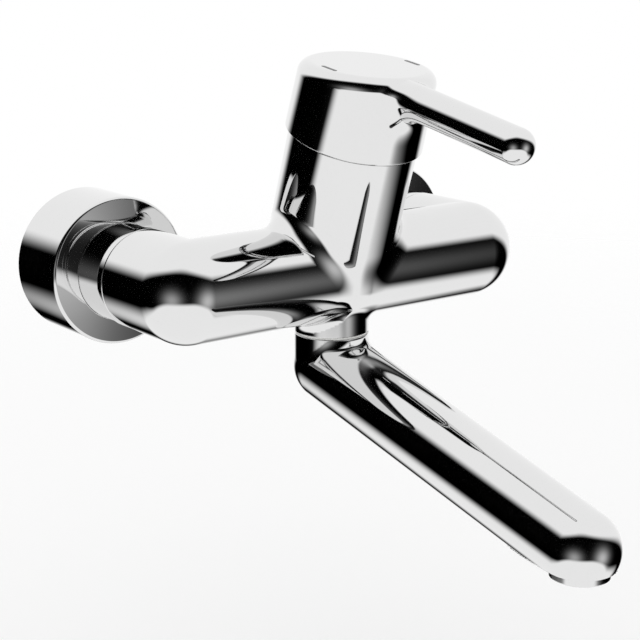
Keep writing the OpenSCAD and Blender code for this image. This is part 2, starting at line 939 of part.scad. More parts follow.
// Swivel spout: upright root, ball elbow and tapering tube with a flat under its tip.
module spout() {
  color("silver")
    difference() {
      union() {
        neck()
          rod(neck_d / 2, spout_axis, spout_top);
        spout_line()
          rotate_extrude()
            spout_outline();
      }
      neck()
        rod(spigot_d / 2, spigot_end, spout_top + cut);
      neck()
        rod(far, spout_top, far);
      neck()
        rod(spigot_bore_d / 2, spout_axis, spout_top);
      neck()
        translate([0, 0, spout_axis])
          sphere(d = spigot_bore_d);
      spout_line()
        cylinder(d = spout_bore_d, h = spout_len);
      aerator()
        sphere(d = tip_chamber_d);
      aerator()
        rod(grip_r, -spout_tip_d, aerator_seat);
      aerator()
        rod(far, -far, -tip_flat);
    }
}

// Half outline of the spout's tube: two round ends joined by a line that touches both.
module spout_outline() {
  intersection() {
    union() {
      circle(d = spout_root_d);
      translate([0, spout_len])
        circle(d = spout_tip_d);
      polygon([
        [0, 0],
        [spout_root_d / 2 * cos(spout_taper), spout_root_d / 2 * sin(spout_taper)],
        [spout_tip_d / 2 * cos(spout_taper), spout_len + spout_tip_d / 2 * sin(spout_taper)],
        [0, spout_len]
      ]);
    }
    translate([0, -spout_root_d])
      square([spout_root_d, spout_len + 2 * spout_root_d]);
  }
}

// Turned spigot screwed into the spout, turning in the neck.
module spout_spigot() {
  color("goldenrod")
    neck()
      difference() {
        rod(spigot_d / 2, spigot_end, spigot_top);
        rod(spigot_bore_d / 2, spigot_end - cut, spigot_top + cut);
        for (i = [0, 1])
          ring(spigot_d, spigot_d / 2 - groove_depth,
            o_ring_at(i) - o_ring_d / 2 - slip_fit, o_ring_at(i) + o_ring_d / 2 + slip_fit);
        ring(spigot_d, spigot_d / 2 - groove_depth,
          neck_end + keep_rise - keep_groove_w / 2, neck_end + keep_rise + keep_groove_w / 2);
      }
}

// Height of one spigot seal.
function o_ring_at(i) = spigot_top - o_ring_top - i * o_ring_pitch;

// Two rubber rings that seal the spigot in the neck.
module spout_o_rings() {
  color("black")
    neck()
      for (i = [0, 1])
        o_ring(spigot_d / 2 - groove_depth + o_ring_d / 2, o_ring_d, o_ring_at(i));
}

// Thin plastic ring on which the spout turns under the neck.
module slide_ring() {
  color("whitesmoke")
    neck()
      ring(neck_d / 2 - slide_clear, spigot_d / 2 + slip_fit, spout_top, spout_top + slide_ring_h);
}

// Aerator housing screwed into the spout's tip.
module aerator_housing() {
  color("silver")
    aerator()
      difference() {
        union() {
          rod(aerator_d / 2, -tip_flat - aerator_ring_h, -tip_flat);
          rod(aerator_thread_d / 2, -tip_flat - cut, -tip_flat + aerator_thread_len);
        }
        rod(housing_bore_r, insert_bottom, -tip_flat + aerator_thread_len + cut);
        rod(housing_bore_r - aerator_wall / 2, -tip_flat - aerator_ring_h - cut, 0);
      }
}

// Jet insert in the aerator housing.
module aerator_insert() {
  color("lightgray")
    aerator()
      difference() {
        rod(housing_bore_r - slip_fit, insert_bottom, -tip_flat + aerator_thread_len);
        for (i = [1 : jet_rings])
          ring(i * jet_pitch + jet_w / 2, i * jet_pitch - jet_w / 2,
            insert_bottom - cut, insert_bottom + jet_w);
      }
}

// Washer that seals the aerator against the spout.
module aerator_washer() {
  color("black")
    aerator()
      ring(aerator_thread_d / 2, housing_bore_r - aerator_wall / 2,
        -tip_flat + aerator_thread_len, aerator_seat);
}

mixer_body();
rose(hot);  // rose_hot
rose(cold);  // rose_cold
s_union(hot);  // s_union_hot
s_union(cold);  // s_union_cold
union_nut(hot);  // union_nut_hot
union_nut(cold);  // union_nut_cold
union_washer(hot);  // union_washer_hot
union_washer(cold);  // union_washer_cold
strainer(hot);  // strainer_hot
strainer(cold);  // strainer_cold
inlet_nipple(hot);  // inlet_nipple_hot
inlet_nipple(cold);  // inlet_nipple_cold
nut_sleeve(hot);  // nut_sleeve_hot
nut_sleeve(cold);  // nut_sleeve_cold
trim_ring(hot);  // trim_ring_hot
trim_ring(cold);  // trim_ring_cold
cartridge_base();
cartridge_seals();
fixed_disc();
cartridge_shell();
cartridge_nut();
stop_ring();
dome_cover();
neck_screw();
cartridge_rotor();
pivot_pin();
moving_disc();
disc_carrier();
lever_stem();
lever_handle();
grub_screw();
grub_plug();
hot_mark();
cold_mark();
spout();
spout_spigot();
spout_o_rings();
slide_ring();
aerator_housing();
aerator_insert();
aerator_washer();
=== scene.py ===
"""Looks of a chromed wall-mounted single-lever mixer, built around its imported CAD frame.

Sizes are in millimetres until a mesh is made. X is to the right facing the wall, +Y goes into the
wall, +Z is up, and the origin lies midway between the two wall inlets.
"""

import cmath
import functools
import json
import math

import bmesh
import bpy
import numpy as np
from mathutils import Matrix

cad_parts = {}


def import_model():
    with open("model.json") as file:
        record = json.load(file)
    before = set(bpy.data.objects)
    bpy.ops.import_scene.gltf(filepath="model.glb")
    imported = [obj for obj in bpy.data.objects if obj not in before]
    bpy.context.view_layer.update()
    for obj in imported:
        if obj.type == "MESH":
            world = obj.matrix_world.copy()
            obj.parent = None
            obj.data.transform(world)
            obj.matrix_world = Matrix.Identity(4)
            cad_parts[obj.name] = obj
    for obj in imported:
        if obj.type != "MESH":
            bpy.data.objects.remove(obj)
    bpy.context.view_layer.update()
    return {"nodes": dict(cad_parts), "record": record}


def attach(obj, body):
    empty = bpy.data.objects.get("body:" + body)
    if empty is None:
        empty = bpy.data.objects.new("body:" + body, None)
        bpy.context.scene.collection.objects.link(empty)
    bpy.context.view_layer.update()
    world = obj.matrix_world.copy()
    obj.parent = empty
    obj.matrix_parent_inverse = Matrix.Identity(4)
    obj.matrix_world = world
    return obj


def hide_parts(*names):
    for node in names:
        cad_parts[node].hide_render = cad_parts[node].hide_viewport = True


MM = 0.001
SIDES = HOT, COLD = -1, 1
SIDE_NAMES = {HOT: "hot", COLD: "cold"}
X_AXIS = np.array([1.0, 0, 0])

# Guards: a number near nothing, directions that hardly differ, and points in one place
TINY = 1e-9
FLAT = 1e-6
NEAR = 1e-3
ASKEW = (0.3, 0.5, 0.8)

# Edges and fits that several pieces share
FIT = 0.05
LIP = 0.6
BORE_EDGE = 0.3
BORE_FLOOR_EDGE = 0.1
FINE_EDGE = 0.15
FOOT_EDGE = 0.4
HUB_R = 1.0
DRILL_EDGE = 0.25

# Body
INLET_SPACING = 150.0
BODY_REACH = 85.1
BODY_R = 21.5
BODY_RISE = 8.0
INLET_FACE = 54.0
NIPPLE_R = 11.05
NIPPLE_GRIP = 8.0
ELBOW_FILLET = 7.0
TOWER_R = 27.3
TOWER_TILT = math.radians(18.55)
TOWER_LEN = 62.0
TOWER_SETBACK = 6.1
TOWER_BLEND = 11.5
TOWER_BLEND_R = 34.0
TOWER_SWELL = 0.7
TOWER_SWELL_H = 18.0
TOWER_TUCK_H = 7.5
TOWER_TUCK_DROP = 2.0
TOWER_TUCK_SOFT = 3.0
TOWER_FOOT_H = 16.0
TOWER_BACK_EDGE = 6.0
TOWER_BORE_R = 23.0
CARTRIDGE_R = 17.95
CARTRIDGE_LEDGE = 50.5
CARTRIDGE_SEAT = 20.5
NECK_R = 16.2
NECK_END = 27.0
NECK_SETBACK = 1.3
NECK_BLEND = 6.8
NECK_BLEND_R = 9.0
SPIGOT_R = 12.49
SPIGOT_UP = 15.8
SCREW_R = 2.0
SCREW_RISE = 3.2
SCREW_IN = 13.0
SCREW_OUT = 15.9
SCREW_SOCKET = 1.6
SCREW_EDGE = 0.25
SCREW_TURNS = 48
SCREW_SHARP = math.radians(35)

# Wall side
ROSE_R = 32.0
ROSE_DEPTH = 32.7
ROSE_SLOPE = math.radians(6)
ROSE_WALL = 1.5
ROSE_EDGE = 1.3
ROSE_INNER_EDGE = 0.8
SLEEVE_R = 21.0
SLEEVE_WALL = 2.0
SLEEVE_LEN = 19.0
SLEEVE_END = 50.1
SLEEVE_EDGE = 0.35
SLEEVE_INNER_EDGE = 0.6
TRIM_EDGE = 0.5
WALL_THREAD_R = 10.48
WALL_THREAD_LEN = 16.0
WALL_BORE_R = 6.0
WALL_LAP = 0.5
UNION_THREAD_R = 13.2
UNION_THREAD_END = 30.0
UNION_BORE_R = 8.0
UNION_HEX_FLATS = 27.0
UNION_HEX_LEN = 8.4
UNION_LAP = 2.8
STUB_EDGE = 0.5
STUB_SOFT_EDGE = 0.6
HEX_EDGE = 0.8
THREAD_PITCH = 1.814
THREAD_DEPTH = 1.0
THREAD_RIDGE = 0.72
THREAD_STEPS = 64
THREAD_SIDES = 8
THREAD_FADE = 0.5
THREAD_TIP = 0.1
THREAD_MARGIN = 0.9

# Lever
CAP_BOTTOM = 62.5
CAP_R = 29.1
CAP_TOP_R = 28.35
CAP_RIM_H = 3.5
CAP_BEVEL = 0.7
CAP_LIP = 1.2
CAP_MOUTH_EDGE = 0.25
CAP_H = 31.38
CAP_SLANT = math.radians(9.74)
CAP_EDGE = 5.3
CAP_HOLLOW_R = 27.6
CAP_WALL = 1.9
CAP_HOLLOW_H = 22.0
HOLLOW_EDGE = 1.0
BOSS_R = 9.0
BOSS_RISE = 8.0
BOSS_EDGE = 0.5
LEVER_R = 7.15
LEVER_LEN = 97.2
LEVER_RISE = 24.7
LEVER_ANGLE = math.radians(7.42)
LEVER_MELT = 14.0
PIVOT = 52.5
DOME_R = 24.0
DOME_WALL = 1.0
DOME_OPENING_R = 17.7
DOME_EDGE = 0.2
NUT_TOP = 60.5
MARK_LEN = 9.4
MARK_W = 2.0
MARK_DEPTH = 0.6
MARK_PROUD = 0.05
MARK_EDGE = 0.15
MARK_TURNS = 17
MARK_X = 21.6
MARK_FORWARD = 1.2
GRUB_RISE = 13.5
PLUG_R = 3.0
PLUG_RECESS = 0.4
PLUG_FIT = 0.03
PLUG_SEAT = 0.1
PLUG_GAP = 0.15
PLUG_EDGE = 0.35
PLUG_FOOT_EDGE = 0.2
PLUG_CROWN = 0.12

# Spout
SLIDE_RING_H = 0.8
SLIDE_RING_INSET = 0.5
SLIDE_RING_FIT = 0.01
TURN_FIT = 0.06
SPOUT_DROP = 15.7
SPOUT_ROOT_R = 16.65
SPOUT_TIP_R = 15.35
SPOUT_LEN = 156.0
SPOUT_SLOPE = math.radians(13.73)
SPOUT_FILLET = 8.0
SPIGOT_DOWN = 10.0
TIP_FLAT = 7.2
AERATOR_R = 11.6
AERATOR_RING_H = 3.4
AERATOR_THREAD_R = 10.45
AERATOR_THREAD_LEN = 4.4
AERATOR_BORE_R = 8.95
AERATOR_MOUTH_R = 8.2
AERATOR_EDGE = 0.5
AERATOR_WASHER_H = 1.8
PLATE_EDGE = 0.2
INSERT_RECESS = 0.6
JET_RINGS = 3
JET_PITCH = 2.2
JET_W = 1.0
JET_RIBS = 10
RIB_R = 0.22
RIB_LEN = 1.3
RIB_DEPTH = 0.308
RIB_SIDES = 10

# Mesh
WELD_DIGITS = 4
BOX_MARGIN = 5.0
BLOCK = 4
BLOCK_MARGIN = 1.1
SETTLE_ROUNDS = 4
RELAX_ROUNDS = 8
RELAX_SHARE = 0.6
FACING_STEP = 0.02
CUT_SNAP = 0.3
CUT_DIST = 1e-5
BODY_STEP = 0.85
LEVER_STEP = 0.65
SPOUT_STEP = 0.8
TURNS = 128
ARC_STEPS = 6
QUARTER_STEPS = [math.pi / 2 * k / ARC_STEPS for k in range(ARC_STEPS + 1)]
QUARTER_TURN = [(math.cos(a), math.sin(a)) for a in QUARTER_STEPS]
DRILL_MARGIN = 0.7
DRILL_ROUNDS = 6
GROWN_SHARP = math.radians(50)

# Surface marks that the finishes share
SURFACE_SCALES = ("Drift Scale", "Hairline Scale", "Pore Scale")
SURFACE_MARKS = ("Drift", "Hairlines", "Pores")
SURFACE_DETAIL = (3.0, 4.0, 2.0)
SURFACE_RANGE = (0.3, 0.7)
HAIRLINE_TURN = (0.4, 0.9, 0.3)
HAIRLINE_STRETCH = (1.0, 14.0, 3.0)
HAIRLINE_SHARE = 0.4

# Materials by slot, filled in by finishes
FINISHES = {}

# Color sockets of a mix node
MIX_FIRST, MIX_SECOND, MIX_RESULT = 6, 7, 2

# Photograph's camera
CAMERA_PLACE = (-0.40439, -0.61013, 0.15242)
CAMERA_YAW = math.radians(37.10)
CAMERA_PITCH = math.radians(14.15)
CAMERA_LENS = 88.34
CAMERA_SENSOR = 36.0

# Studio: the dark opening's middle, top and sill as seen from the tap; steps and glows are in degrees
ARCH_MIDDLE = math.radians(-45)
ARCH_TOP = math.radians(60)
ARCH_NARROWING = 0.715
ARCH_SOFT = math.radians(9)
SILL_MIDDLE = math.radians(-13)
SILL_STEPS = [(25, 95, -19), (120, 160, -13)]
SILL_LEAN = math.radians(-4.5)
SILL_LEAN_SPAN = (math.radians(60), math.radians(90))
SILL_SOFT = (math.radians(5), math.radians(8))
GLOWS = [((-18, -5), (13, 12), 0.38), ((59, -9), (13, 14), 0.58)]
FLOOR_R = 1.5
FLOOR_FADE_R = 0.5
FLOOR_SIDES = 96
FLOOR_TONE = 0.97
FLOOR_ROUGHNESS = 0.9
FLOOR_Z = -0.2
FLOOR_MIDDLE = -0.12


def unit(v):
    """A direction, or rows of them, of length 1."""
    v = np.asarray(v, float)
    return v / np.maximum(np.linalg.norm(v, axis=-1, keepdims=True), TINY)


def grid(*spans):
    """Every triple of numbers from three spans."""
    return np.stack(np.meshgrid(*spans, indexing="ij"), -1).reshape(-1, 3)


class Line:
    """A turning axis: where it starts, which way it runs, and two directions square to it."""

    def __init__(self, start, axis, across=(1.0, 0.0, 0.0)):
        self.start = np.asarray(start, float)
        self.axis = unit(axis)
        across = np.asarray(across, float)
        self.across = unit(across - (across @ self.axis) * self.axis)
        self.third = np.cross(self.axis, self.across)

    def at(self, height):
        return self.start + height * self.axis

    def split(self, p):
        """Height, distance from the axis and outward direction of each point."""
        rel = p - self.start
        height = rel @ self.axis
        out = rel - height[:, None] * self.axis
        far = np.linalg.norm(out, axis=1)
        return height, far, out / np.maximum(far, TINY)[:, None]

    def around(self, count):
        """Even angles around the axis, and the outward direction at each."""
        angle = np.arange(count) * 2 * math.pi / count
        return angle, np.cos(angle)[:, None] * self.across + np.sin(angle)[:, None] * self.third


def inlet_line(side, rise=BODY_RISE):
    return Line((side * INLET_SPACING / 2, 0, rise), (0, -1, 0))


TOWER_UP = np.array([0, -math.sin(TOWER_TILT), math.cos(TOWER_TILT)])
TOWER_FRONT = np.array([0, -math.cos(TOWER_TILT), -math.sin(TOWER_TILT)])
TOWER = Line((0, TOWER_SETBACK - BODY_REACH, BODY_RISE), TOWER_UP)
TUBE_MIDDLE = np.array([0, -BODY_REACH, BODY_RISE])
TOWER_TOUCH = (TUBE_MIDDLE - TOWER.start) @ TOWER_UP
TOWER_FOOT = TUBE_MIDDLE + BODY_R * TOWER_FRONT - TOWER_FOOT_H * TOWER_UP
TUBE_BACK = TUBE_MIDDLE + (0, BODY_R, 0)
NECK = Line((0, NECK_SETBACK - BODY_REACH, BODY_RISE), (0, 0, -1))
SPOUT_TOP = NECK_END + SLIDE_RING_H + TURN_FIT
SPOUT_ROOT = NECK.at(NECK_END + SPOUT_DROP)
SPOUT_WAY = np.array([0, -math.cos(SPOUT_SLOPE), -math.sin(SPOUT_SLOPE)])
SPOUT_TIP = SPOUT_ROOT + SPOUT_LEN * SPOUT_WAY
AERATOR = Line(SPOUT_TIP, (0, 0, -1))
CAP_TOP = CAP_BOTTOM + CAP_H
CAP_FACE_OUT = math.cos(CAP_SLANT) * TOWER_UP - math.sin(CAP_SLANT) * TOWER_FRONT
CAP_FACE_FRONT = math.cos(CAP_SLANT) * TOWER_FRONT + math.sin(CAP_SLANT) * TOWER_UP
SCREW = Line(NECK.at(NECK_END - SCREW_RISE), (0, 1, 0))
PLUG = Line(TOWER.at(CAP_BOTTOM + GRUB_RISE), -TOWER_FRONT)
PLUG_IN = CAP_TOP_R - CAP_WALL
PLUG_OUT = CAP_TOP_R - PLUG_RECESS
LEVER_WAY = math.cos(LEVER_ANGLE) * TOWER_FRONT + math.sin(LEVER_ANGLE) * TOWER_UP


# Skins: each gives the distance of every point from a surface and the direction out of it.


def plane_skin(p, point, out):
    out = unit(out)
    return (p - point) @ out, np.broadcast_to(out, p.shape)


def cone_skin(p, line, r, height, lean):
    """A cone of radius r at a height, whose side leans in by an angle as it rises."""
    h, far, out = line.split(p)
    gap = (far - r) * math.cos(lean) + (h - height) * math.sin(lean)
    return gap, out * math.cos(lean) + line.axis * math.sin(lean)


def round_rod_skin(p, start, end, r_start, r_end=None):
    """A rod between two balls, tapering from one to the other."""
    r_end = r_start if r_end is None else r_end
    line = Line(start, end - start, across=ASKEW)
    length = np.linalg.norm(end - start)
    h, far, out = line.split(p)
    sin_t = (r_start - r_end) / length
    cos_t = math.sqrt(1 - sin_t * sin_t)
    foot = h * cos_t - far * sin_t
    gap = far * cos_t + h * sin_t - r_start
    normal = out * cos_t + line.axis * sin_t
    for centre, r, mask in ((start, r_start, foot < 0), (end, r_end, foot > length * cos_t)):
        rel = p[mask] - centre
        size = np.maximum(np.linalg.norm(rel, axis=1), TINY)
        gap[mask] = size - r
        normal[mask] = rel / size[:, None]
    return gap, normal


def rolled(a, b, radius, sign):
    """A ball of a radius rolled in the corner of two skins (sign 1) or along their edge (sign -1)."""
    (gap_a, out_a), (gap_b, out_b) = a, b
    cos = np.clip(np.sum(out_a * out_b, axis=1), -1, 1)
    sin2 = np.maximum(1 - cos * cos, TINY)
    in_a, in_b = radius - sign * gap_a, radius - sign * gap_b
    share_a = (in_a - cos * in_b) / sin2
    share_b = (in_b - cos * in_a) / sin2
    reach = np.sqrt(np.maximum(share_a**2 + share_b**2 + 2 * share_a * share_b * cos, TINY**2))
    touch = (share_a > 0) & (share_b > 0) & (sin2 > FLAT)
    first = sign * gap_a <= sign * gap_b
    gap = np.where(touch, sign * (radius - reach), np.where(first, gap_a, gap_b))
    ball = (share_a[:, None] * out_a + share_b[:, None] * out_b) / reach[:, None]
    normal = np.where(touch[:, None], ball, np.where(first[:, None], out_a, out_b))
    return gap, normal


joined = functools.partial(rolled, sign=1)
trimmed = functools.partial(rolled, sign=-1)


def eased(part):
    """Smooth step from 0 to 1."""
    part = np.clip(part, 0, 1)
    return part**3 * (10 - 15 * part + 6 * part**2)


def blended(a, b, width, widest):
    """Two skins joined by a fillet of even width, whose radius grows where they meet at a flat angle."""
    cos = np.clip(np.sum(a[1] * b[1], axis=1), -1, 1)
    half = np.sqrt(np.maximum((1 - cos) / 2, FLAT))
    return joined(a, b, widest * np.tanh(width / (2 * half * widest)))


def melted(a, b, width):
    """Two skins run softly into each other, over a width that shrinks where they face the same way."""
    (gap_a, out_a), (gap_b, out_b) = a, b
    width = np.maximum(width * eased(1 - np.sum(out_a * out_b, axis=1)), FLAT)
    near = np.maximum(1 - np.abs(gap_a - gap_b) / width, 0)
    other = near**2 / 2
    share = np.where(gap_a <= gap_b, 1 - other, other)[:, None]
    return np.minimum(gap_a, gap_b) - near**3 * width / 6, unit(share * out_a + (1 - share) * out_b)


def tower_skin(p):
    """The leaning tower, a little fuller where it crosses the tube's front and tucked in below."""
    height, far, out = TOWER.split(p)
    above = height - TOWER_TOUCH
    below = np.clip(-above, 0, TOWER_FOOT_H)
    r = TOWER_R + TOWER_SWELL * (1 - eased(above / TOWER_SWELL_H)) * (1 - eased(below / TOWER_TUCK_H))
    below = below**2 / (below + TOWER_TUCK_SOFT)
    r = r - TOWER_TUCK_DROP * (BODY_R - np.sqrt(BODY_R**2 - below**2))
    skin = trimmed((far - r, out), plane_skin(p, TUBE_BACK, (0, 1, 0)), TOWER_BACK_EDGE)
    return trimmed(skin, plane_skin(p, TOWER_FOOT, np.cross(X_AXIS, TOWER_FOOT - TUBE_BACK)), 0.0)


def body_skin(p):
    """Cross tube, inlet arms, tower and neck in one."""
    inlets = [inlet_line(side) for side in SIDES]
    skin = round_rod_skin(p, *(inlet.at(BODY_REACH) for inlet in inlets), BODY_R)
    for inlet in inlets:
        skin = joined(skin, round_rod_skin(p, inlet.at(BODY_REACH), inlet.start, BODY_R), ELBOW_FILLET)
    skin = blended(skin, tower_skin(p), TOWER_BLEND, TOWER_BLEND_R)
    return blended(skin, round_rod_skin(p, NECK.start, NECK.at(2 * NECK_END), NECK_R), NECK_BLEND, NECK_BLEND_R)


def lever_skin(p):
    """Cap with a slanted face, and the rod that grows out of it."""
    lean = math.atan2(CAP_R - CAP_TOP_R, CAP_H - CAP_BEVEL)
    cap = cone_skin(p, TOWER, CAP_R, CAP_BOTTOM + CAP_BEVEL, lean)
    cap = trimmed(cap, plane_skin(p, TOWER.at(CAP_TOP), CAP_FACE_OUT), CAP_EDGE)
    root = TOWER.at(CAP_BOTTOM + LEVER_RISE)
    start = root + (CAP_TOP_R - CAP_EDGE - LEVER_R) * LEVER_WAY
    end = root + (LEVER_LEN - LEVER_R) * LEVER_WAY
    return melted(cap, round_rod_skin(p, start, end, LEVER_R), LEVER_MELT)


def spout_skin(p):
    """Sloping spout and the upright stub that it turns on."""
    tube = round_rod_skin(p, SPOUT_ROOT, SPOUT_TIP, SPOUT_ROOT_R, SPOUT_TIP_R)
    return joined(tube, round_rod_skin(p, NECK.start, SPOUT_ROOT, NECK_R), SPOUT_FILLET)


# Meshing of skins


def settled(points, skin, rounds=SETTLE_ROUNDS):
    """Points moved onto a skin."""
    for _ in range(rounds):
        gap, out = skin(points)
        points = points - gap[:, None] * out
    return points


def facing(points, skin):
    """Direction out of a skin at each point, from its gap on both sides."""
    return unit(np.stack([skin(points + way)[0] - skin(points - way)[0] for way in FACING_STEP * np.eye(3)], 1))


def near_cells(skin, axes, origin, counts, step):
    """Grid cells in the blocks that the skin may pass through."""
    corner = grid(*(np.arange(0, n, BLOCK) for n in counts))
    gap, _ = skin(origin + ((corner + BLOCK / 2) * step) @ axes)
    corner = corner[np.abs(gap) < BLOCK_MARGIN * step * BLOCK * math.sqrt(3) / 2]
    return (corner[:, None] + grid(*[range(BLOCK)] * 3)).reshape(-1, 3)


def net(skin, axes, origin, size, step):
    """Even quads over a skin inside a box, whose sides run along the rows of axes."""
    counts = np.ceil(size / step).astype(int)
    _, deep, high = counts + 2 * BLOCK + 1
    stride = np.array([deep * high, high, 1])
    cells = near_cells(skin, axes, origin, counts, step)
    corners = (cells[:, None] + grid(*[[0, 1]] * 3)).reshape(-1, 3)
    _, first, back = np.unique(corners @ stride, return_index=True, return_inverse=True)
    gap, _ = skin(origin + (corners[first] * step) @ axes)
    low = (gap < 0)[back.reshape(-1)].reshape(-1, 8)
    used = low.any(1) & ~low.all(1)
    cells, low = cells[used], low[used]
    keys = cells @ stride
    order = np.argsort(keys)
    cells, low, keys = cells[order], low[order], keys[order]
    points = settled(origin + ((cells + 0.5) * step) @ axes, skin)
    quads = []
    for tip, b, c in ((4, 1, 2), (2, 2, 0), (1, 0, 1)):
        crossing = low[:, 0] != low[:, tip]
        here, leaving = keys[crossing], low[crossing, 0]
        ring = np.stack([here - stride[b] - stride[c], here - stride[c], here, here - stride[b]], 1)
        at = np.minimum(np.searchsorted(keys, ring), len(keys) - 1)
        whole = (keys[at] == ring).all(1)
        at, leaving = at[whole], leaving[whole]
        quads.append(np.where(leaving[:, None], at, at[:, ::-1]))
    return points, np.concatenate(quads)


def relaxed(points, quads, skin):
    """The quads' corners spread evenly over the skin."""
    edges = np.concatenate([quads[:, [i, (i + 1) % 4]] for i in range(4)])
    count = np.maximum(np.bincount(edges.ravel(), minlength=len(points)), 1)[:, None]
    for _ in range(RELAX_ROUNDS):
        total = np.stack([
            np.bincount(edges[:, 0], points[edges[:, 1], k], len(points))
            + np.bincount(edges[:, 1], points[edges[:, 0], k], len(points))
            for k in range(3)
        ], 1)
        points = settled((1 - RELAX_SHARE) * points + RELAX_SHARE * total / count, skin, 1)
    return settled(points, skin)


def border(faces):
    """Closed loops of point numbers along the open edges of faces."""
    sides = {side for face in faces for side in zip(face, face[1:] + face[:1])}
    ahead = {a: b for a, b in sides if (b, a) not in sides}
    loops = []
    while ahead:
        loop = [min(ahead)]
        while (after := ahead.pop(loop[-1])) != loop[0]:
            loop.append(after)
        loops.append(loop)
    return loops


def read_out(shape):
    """Points and faces of a worked mesh, which is then let go."""
    shape.verts.index_update()
    points = np.array([v.co for v in shape.verts])
    faces = [[v.index for v in face.verts] for face in shape.faces]
    shape.free()
    return points, faces


def cut_open(points, quads, cuts, step):
    """The mesh without what lies beyond each cutting plane, and the open loop that each cut leaves."""
    for place, out in cuts:
        gap = (points - place) @ out
        near = np.abs(gap) < CUT_SNAP * step
        points[near] -= gap[near, None] * out
    mesh = bmesh.new()
    corners = [mesh.verts.new(p) for p in points]
    for quad in quads:
        mesh.faces.new([corners[i] for i in quad])
    for place, out in cuts:
        parts = mesh.verts[:] + mesh.edges[:] + mesh.faces[:]
        bmesh.ops.bisect_plane(mesh, geom=parts, dist=CUT_DIST, plane_co=place, plane_no=out, clear_outer=True)
    loose = [v for v in mesh.verts if not v.link_faces]
    bmesh.ops.delete(mesh, geom=loose, context="VERTS")
    points, faces = read_out(mesh)
    rims = border(faces)

    def nearest(place):
        return min(rims, key=lambda rim: np.linalg.norm(points[rim].mean(0) - place))

    return points, faces, [nearest(place) for place, _ in cuts]


# Turned shapes


def outline(corners, closed):
    """Points and outward directions along an outline whose corners are (radius, height, rounding).

    The outline runs up the outside, inwards over the top and down the inside. A point or a direction is
    one complex number: its share along the radius and its share along the height.
    """
    spots = [complex(r, h) for r, h, _ in corners]
    ways = [(b - a) / max(abs(b - a), TINY) for a, b in zip(spots, spots[1:] + spots[:1])]
    if not closed:
        ways[-1] = ways[-2]
    rows = []
    for i, (spot, way, (_, _, rounding)) in enumerate(zip(spots, ways, corners)):
        come = ways[i - 1] if closed or i else way
        turn = cmath.phase(way / come)
        if abs(turn) < FLAT or rounding <= 0:
            rows += [(spot, -1j * side) for side in ((come, way) if closed or abs(turn) > FLAT else (way,))]
            continue
        bend = math.copysign(rounding, turn)
        centre = spot - rounding * math.tan(abs(turn) / 2) * come + 1j * bend * come
        for k in range(ARC_STEPS + 1):
            side = -1j * come * cmath.exp(1j * turn * k / ARC_STEPS)
            rows.append((centre + bend * side, side))
    return rows


def ring_of(line, ways, row):
    """Points and normals of one row of an outline turned around a line."""
    spot, side = row
    return line.at(spot.imag) + spot.real * ways, side.real * ways + side.imag * line.axis


def band(low, high):
    """Faces between two rings of as many points."""
    return zip(low, low[1:] + low[:1], high[1:] + high[:1], high)


def stacked(count, rows):
    """Faces of rows of points, one above the other, with a lid at both ends."""
    rings = np.arange(rows * count).reshape(rows, count).tolist()
    sides = [list(face) for low, high in zip(rings, rings[1:]) for face in band(low, high)]
    return [rings[0][::-1], *sides, rings[-1]]


def lathe(line, corners):
    """A turned shell around a line. An outline that starts and ends on the line is closed there."""
    _, ways = line.around(TURNS)
    hollow = corners[0][0] > 0
    rows = outline(corners, hollow)
    points, normals, rings, total = [], [], [], 0
    for spot, side in rows:
        size = TURNS if spot.real > 0 else 1
        place, out = ring_of(line, ways[:size], (spot, side))
        points.append(place)
        normals.append(out if size > 1 else side.imag * line.axis[None])
        rings.append([total + i % size for i in range(TURNS)])
        total += size
    faces = []
    for k in range(len(rows) if hollow else len(rows) - 1):
        after = (k + 1) % len(rows)
        if abs(rows[k][0] - rows[after][0]) > FLAT:
            faces += [list(dict.fromkeys(face)) for face in band(rings[k], rings[after])]
    return np.concatenate(points), np.concatenate(normals), faces


def lined(shell, loop, rings, centre):
    """A shell carried on from an open loop through rings of points, and closed at a centre."""
    points, normals, faces = shell
    a, b = points[loop[0]], points[loop[1]]
    place, out = next((p[0], n[0]) for p, n in rings if np.linalg.norm(p[0] - a) > NEAR)
    turned = np.cross(b - a, place - a) @ (out + normals[loop[0]])
    rings = [*rings, (centre[None], rings[-1][1][:1])]
    last, total = list(loop), len(points)
    for ring, _ in rings:
        fresh = [total + i % len(ring) for i in range(len(last))]
        sides = [list(dict.fromkeys(face)) for face in band(last, fresh)]
        faces = faces + (sides if turned > 0 else [face[::-1] for face in sides])
        last, total = fresh, total + len(ring)
    points, normals = ([first, *more] for first, more in zip((points, normals), zip(*rings)))
    return np.concatenate(points), np.concatenate(normals), faces


def stepped(r, top, edge, *bores):
    """Outline of an end face at a height, from its rim through bores that are (radius, floor)."""
    corners = [(r, top - LIP, 0), (r, top, edge)]
    for bore, floor in bores:
        corners += [(bore, top, BORE_EDGE), (bore, floor, BORE_FLOOR_EDGE)]
        top = floor
    return corners


def bored(shell, loop, line, corners, rim=()):
    """A shell carried on from a round open loop through a turned outline to the middle of its last face."""
    _, _, ways = line.split(shell[0][loop])
    floor = corners[-1][1]
    rows = outline([*corners, (HUB_R, floor, 0)], False)
    return lined(shell, loop, [*rim, *(ring_of(line, ways, row) for row in rows[1:])], line.at(floor))


